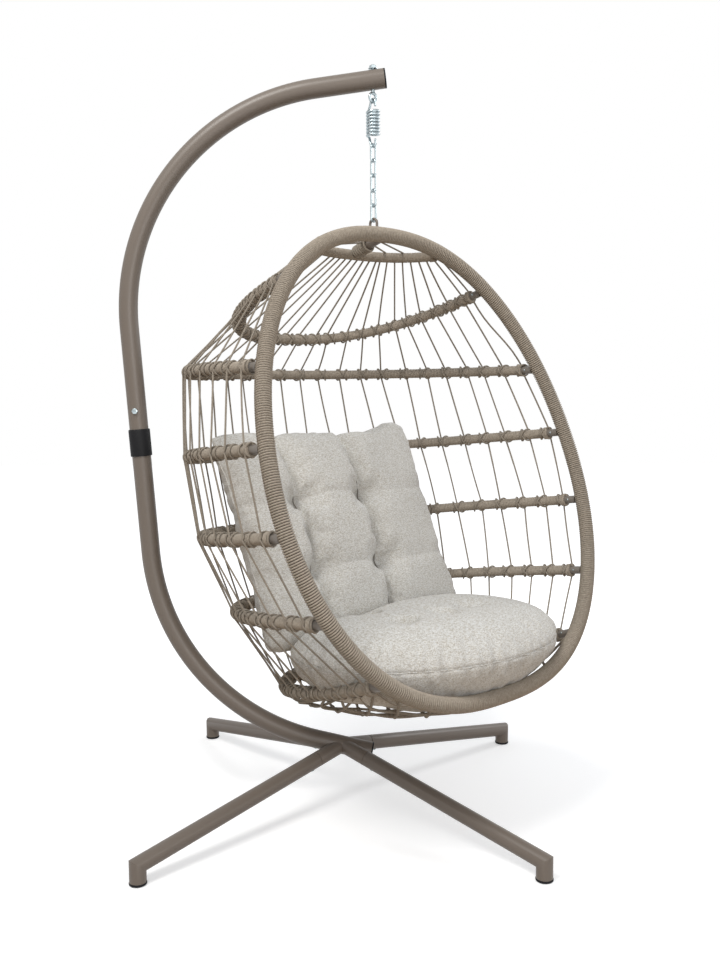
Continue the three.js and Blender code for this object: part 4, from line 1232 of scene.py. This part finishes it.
# %% World
def seen(nodes, links, *kinds):
    """1 for rays of these kinds, such as those of the camera and of reflections, and otherwise 0."""
    path = nodes.new("ShaderNodeLightPath")
    share = path.outputs[kinds[0]]
    for kind in kinds[1:]:
        most = nodes.new("ShaderNodeMath")
        most.operation = "MAXIMUM"
        links.new(share, most.inputs[0])
        links.new(path.outputs[kind], most.inputs[1])
        share = most.outputs[0]
    return share


world = bpy.data.worlds.new("white studio")
bpy.context.scene.world = world
world.use_nodes = True
nodes, links = world.node_tree.nodes, world.node_tree.links
nodes.clear()
surround = nodes.new("ShaderNodeBackground")
surround.inputs["Color"].default_value = (0.93, 0.96, 1.0, 1)
surround.inputs["Strength"].default_value = 0.47
white = nodes.new("ShaderNodeBackground")
white.inputs["Strength"].default_value = 1.0
white.inputs["Color"].default_value = (1, 1, 1, 1)
choose = nodes.new("ShaderNodeMixShader")
links.new(seen(nodes, links, "Is Camera Ray", "Is Glossy Ray", "Is Transmission Ray"), choose.inputs[0])
links.new(surround.outputs[0], choose.inputs[1])
links.new(white.outputs[0], choose.inputs[2])
links.new(choose.outputs[0], nodes.new("ShaderNodeOutputWorld").inputs[0])


# %% [markdown]
# Three round area lamps do the modelling of the forms: a key from the upper left, a broad weak one
# beside the camera, and a small one from behind that draws the edges.

# %% Lamps
def lamp(name, place, aim, size, watts, color):
    data = bpy.data.lights.new(name, "AREA")
    data.shape, data.size, data.energy, data.color = "DISK", size, watts, color
    made = bpy.data.objects.new(name, data)
    made.location = place
    made.rotation_euler = (Vector(aim) - Vector(place)).to_track_quat("-Z", "Y").to_euler()
    bpy.context.scene.collection.objects.link(made)


lamp("key", (-2.2, 1.4, 4.2), (0, 0, 0.9), 1.6, 112, (1, 0.985, 0.96))
lamp("front", (-4.4, -1.6, 1.9), (0, 0, 0.9), 2.6, 78, (1, 0.99, 0.98))
lamp("rim", (1.6, -2.6, 2.6), (0, 0.2, 1.1), 1.2, 36, (0.97, 0.98, 1))

# %% Floor
floor_mesh = bpy.data.meshes.new("floor")
form = bmesh.new()
bmesh.ops.create_grid(form, x_segments=1, y_segments=1, size=12, matrix=Matrix.Translation((0, 0, -0.001)))
form.to_mesh(floor_mesh)
form.free()
floor = bpy.data.objects.new("floor", floor_mesh)
bpy.context.scene.collection.objects.link(floor)
ground = bpy.data.materials.new("white floor")
ground.use_nodes = True
nodes, links = ground.node_tree.nodes, ground.node_tree.links
warm = nodes["Principled BSDF"]
warm.inputs["Base Color"].default_value = (0.34, 0.25, 0.17, 1)
warm.inputs["Roughness"].default_value = 1
glow = nodes.new("ShaderNodeEmission")
reach = nodes.new("ShaderNodeVectorMath")
reach.operation = "LENGTH"
links.new(nodes.new("ShaderNodeTexCoord").outputs["Object"], reach.inputs[0])
outwards = nodes.new("ShaderNodeMapRange")
for socket, value in zip(outwards.inputs[1:5], (0.9, 3.0, 0.42, 0.75)):
    socket.default_value = value
links.new(reach.outputs["Value"], outwards.inputs["Value"])
links.new(outwards.outputs["Result"], glow.inputs["Strength"])
matt = nodes.new("ShaderNodeBsdfDiffuse")
matt.inputs["Color"].default_value = (0.8, 0.8, 0.8, 1)
sheet = nodes.new("ShaderNodeAddShader")
links.new(glow.outputs[0], sheet.inputs[0])
links.new(matt.outputs[0], sheet.inputs[1])
choose = nodes.new("ShaderNodeMixShader")
links.new(seen(nodes, links, "Is Camera Ray", "Is Glossy Ray", "Is Transmission Ray"), choose.inputs[0])
links.new(warm.outputs[0], choose.inputs[1])
links.new(sheet.outputs[0], choose.inputs[2])
links.new(choose.outputs[0], nodes["Material Output"].inputs[0])
floor_mesh.materials.append(ground)
floor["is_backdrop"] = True
bpy.context.scene.view_settings.view_transform = "Standard"

# %% [markdown]
# ## Finish
# The box of the dressed chair is measured and printed. The looks may not grow past the part.

# %% Finish
low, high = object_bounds()
print("looks", [round(x, 4) for x in (*low, *high)])
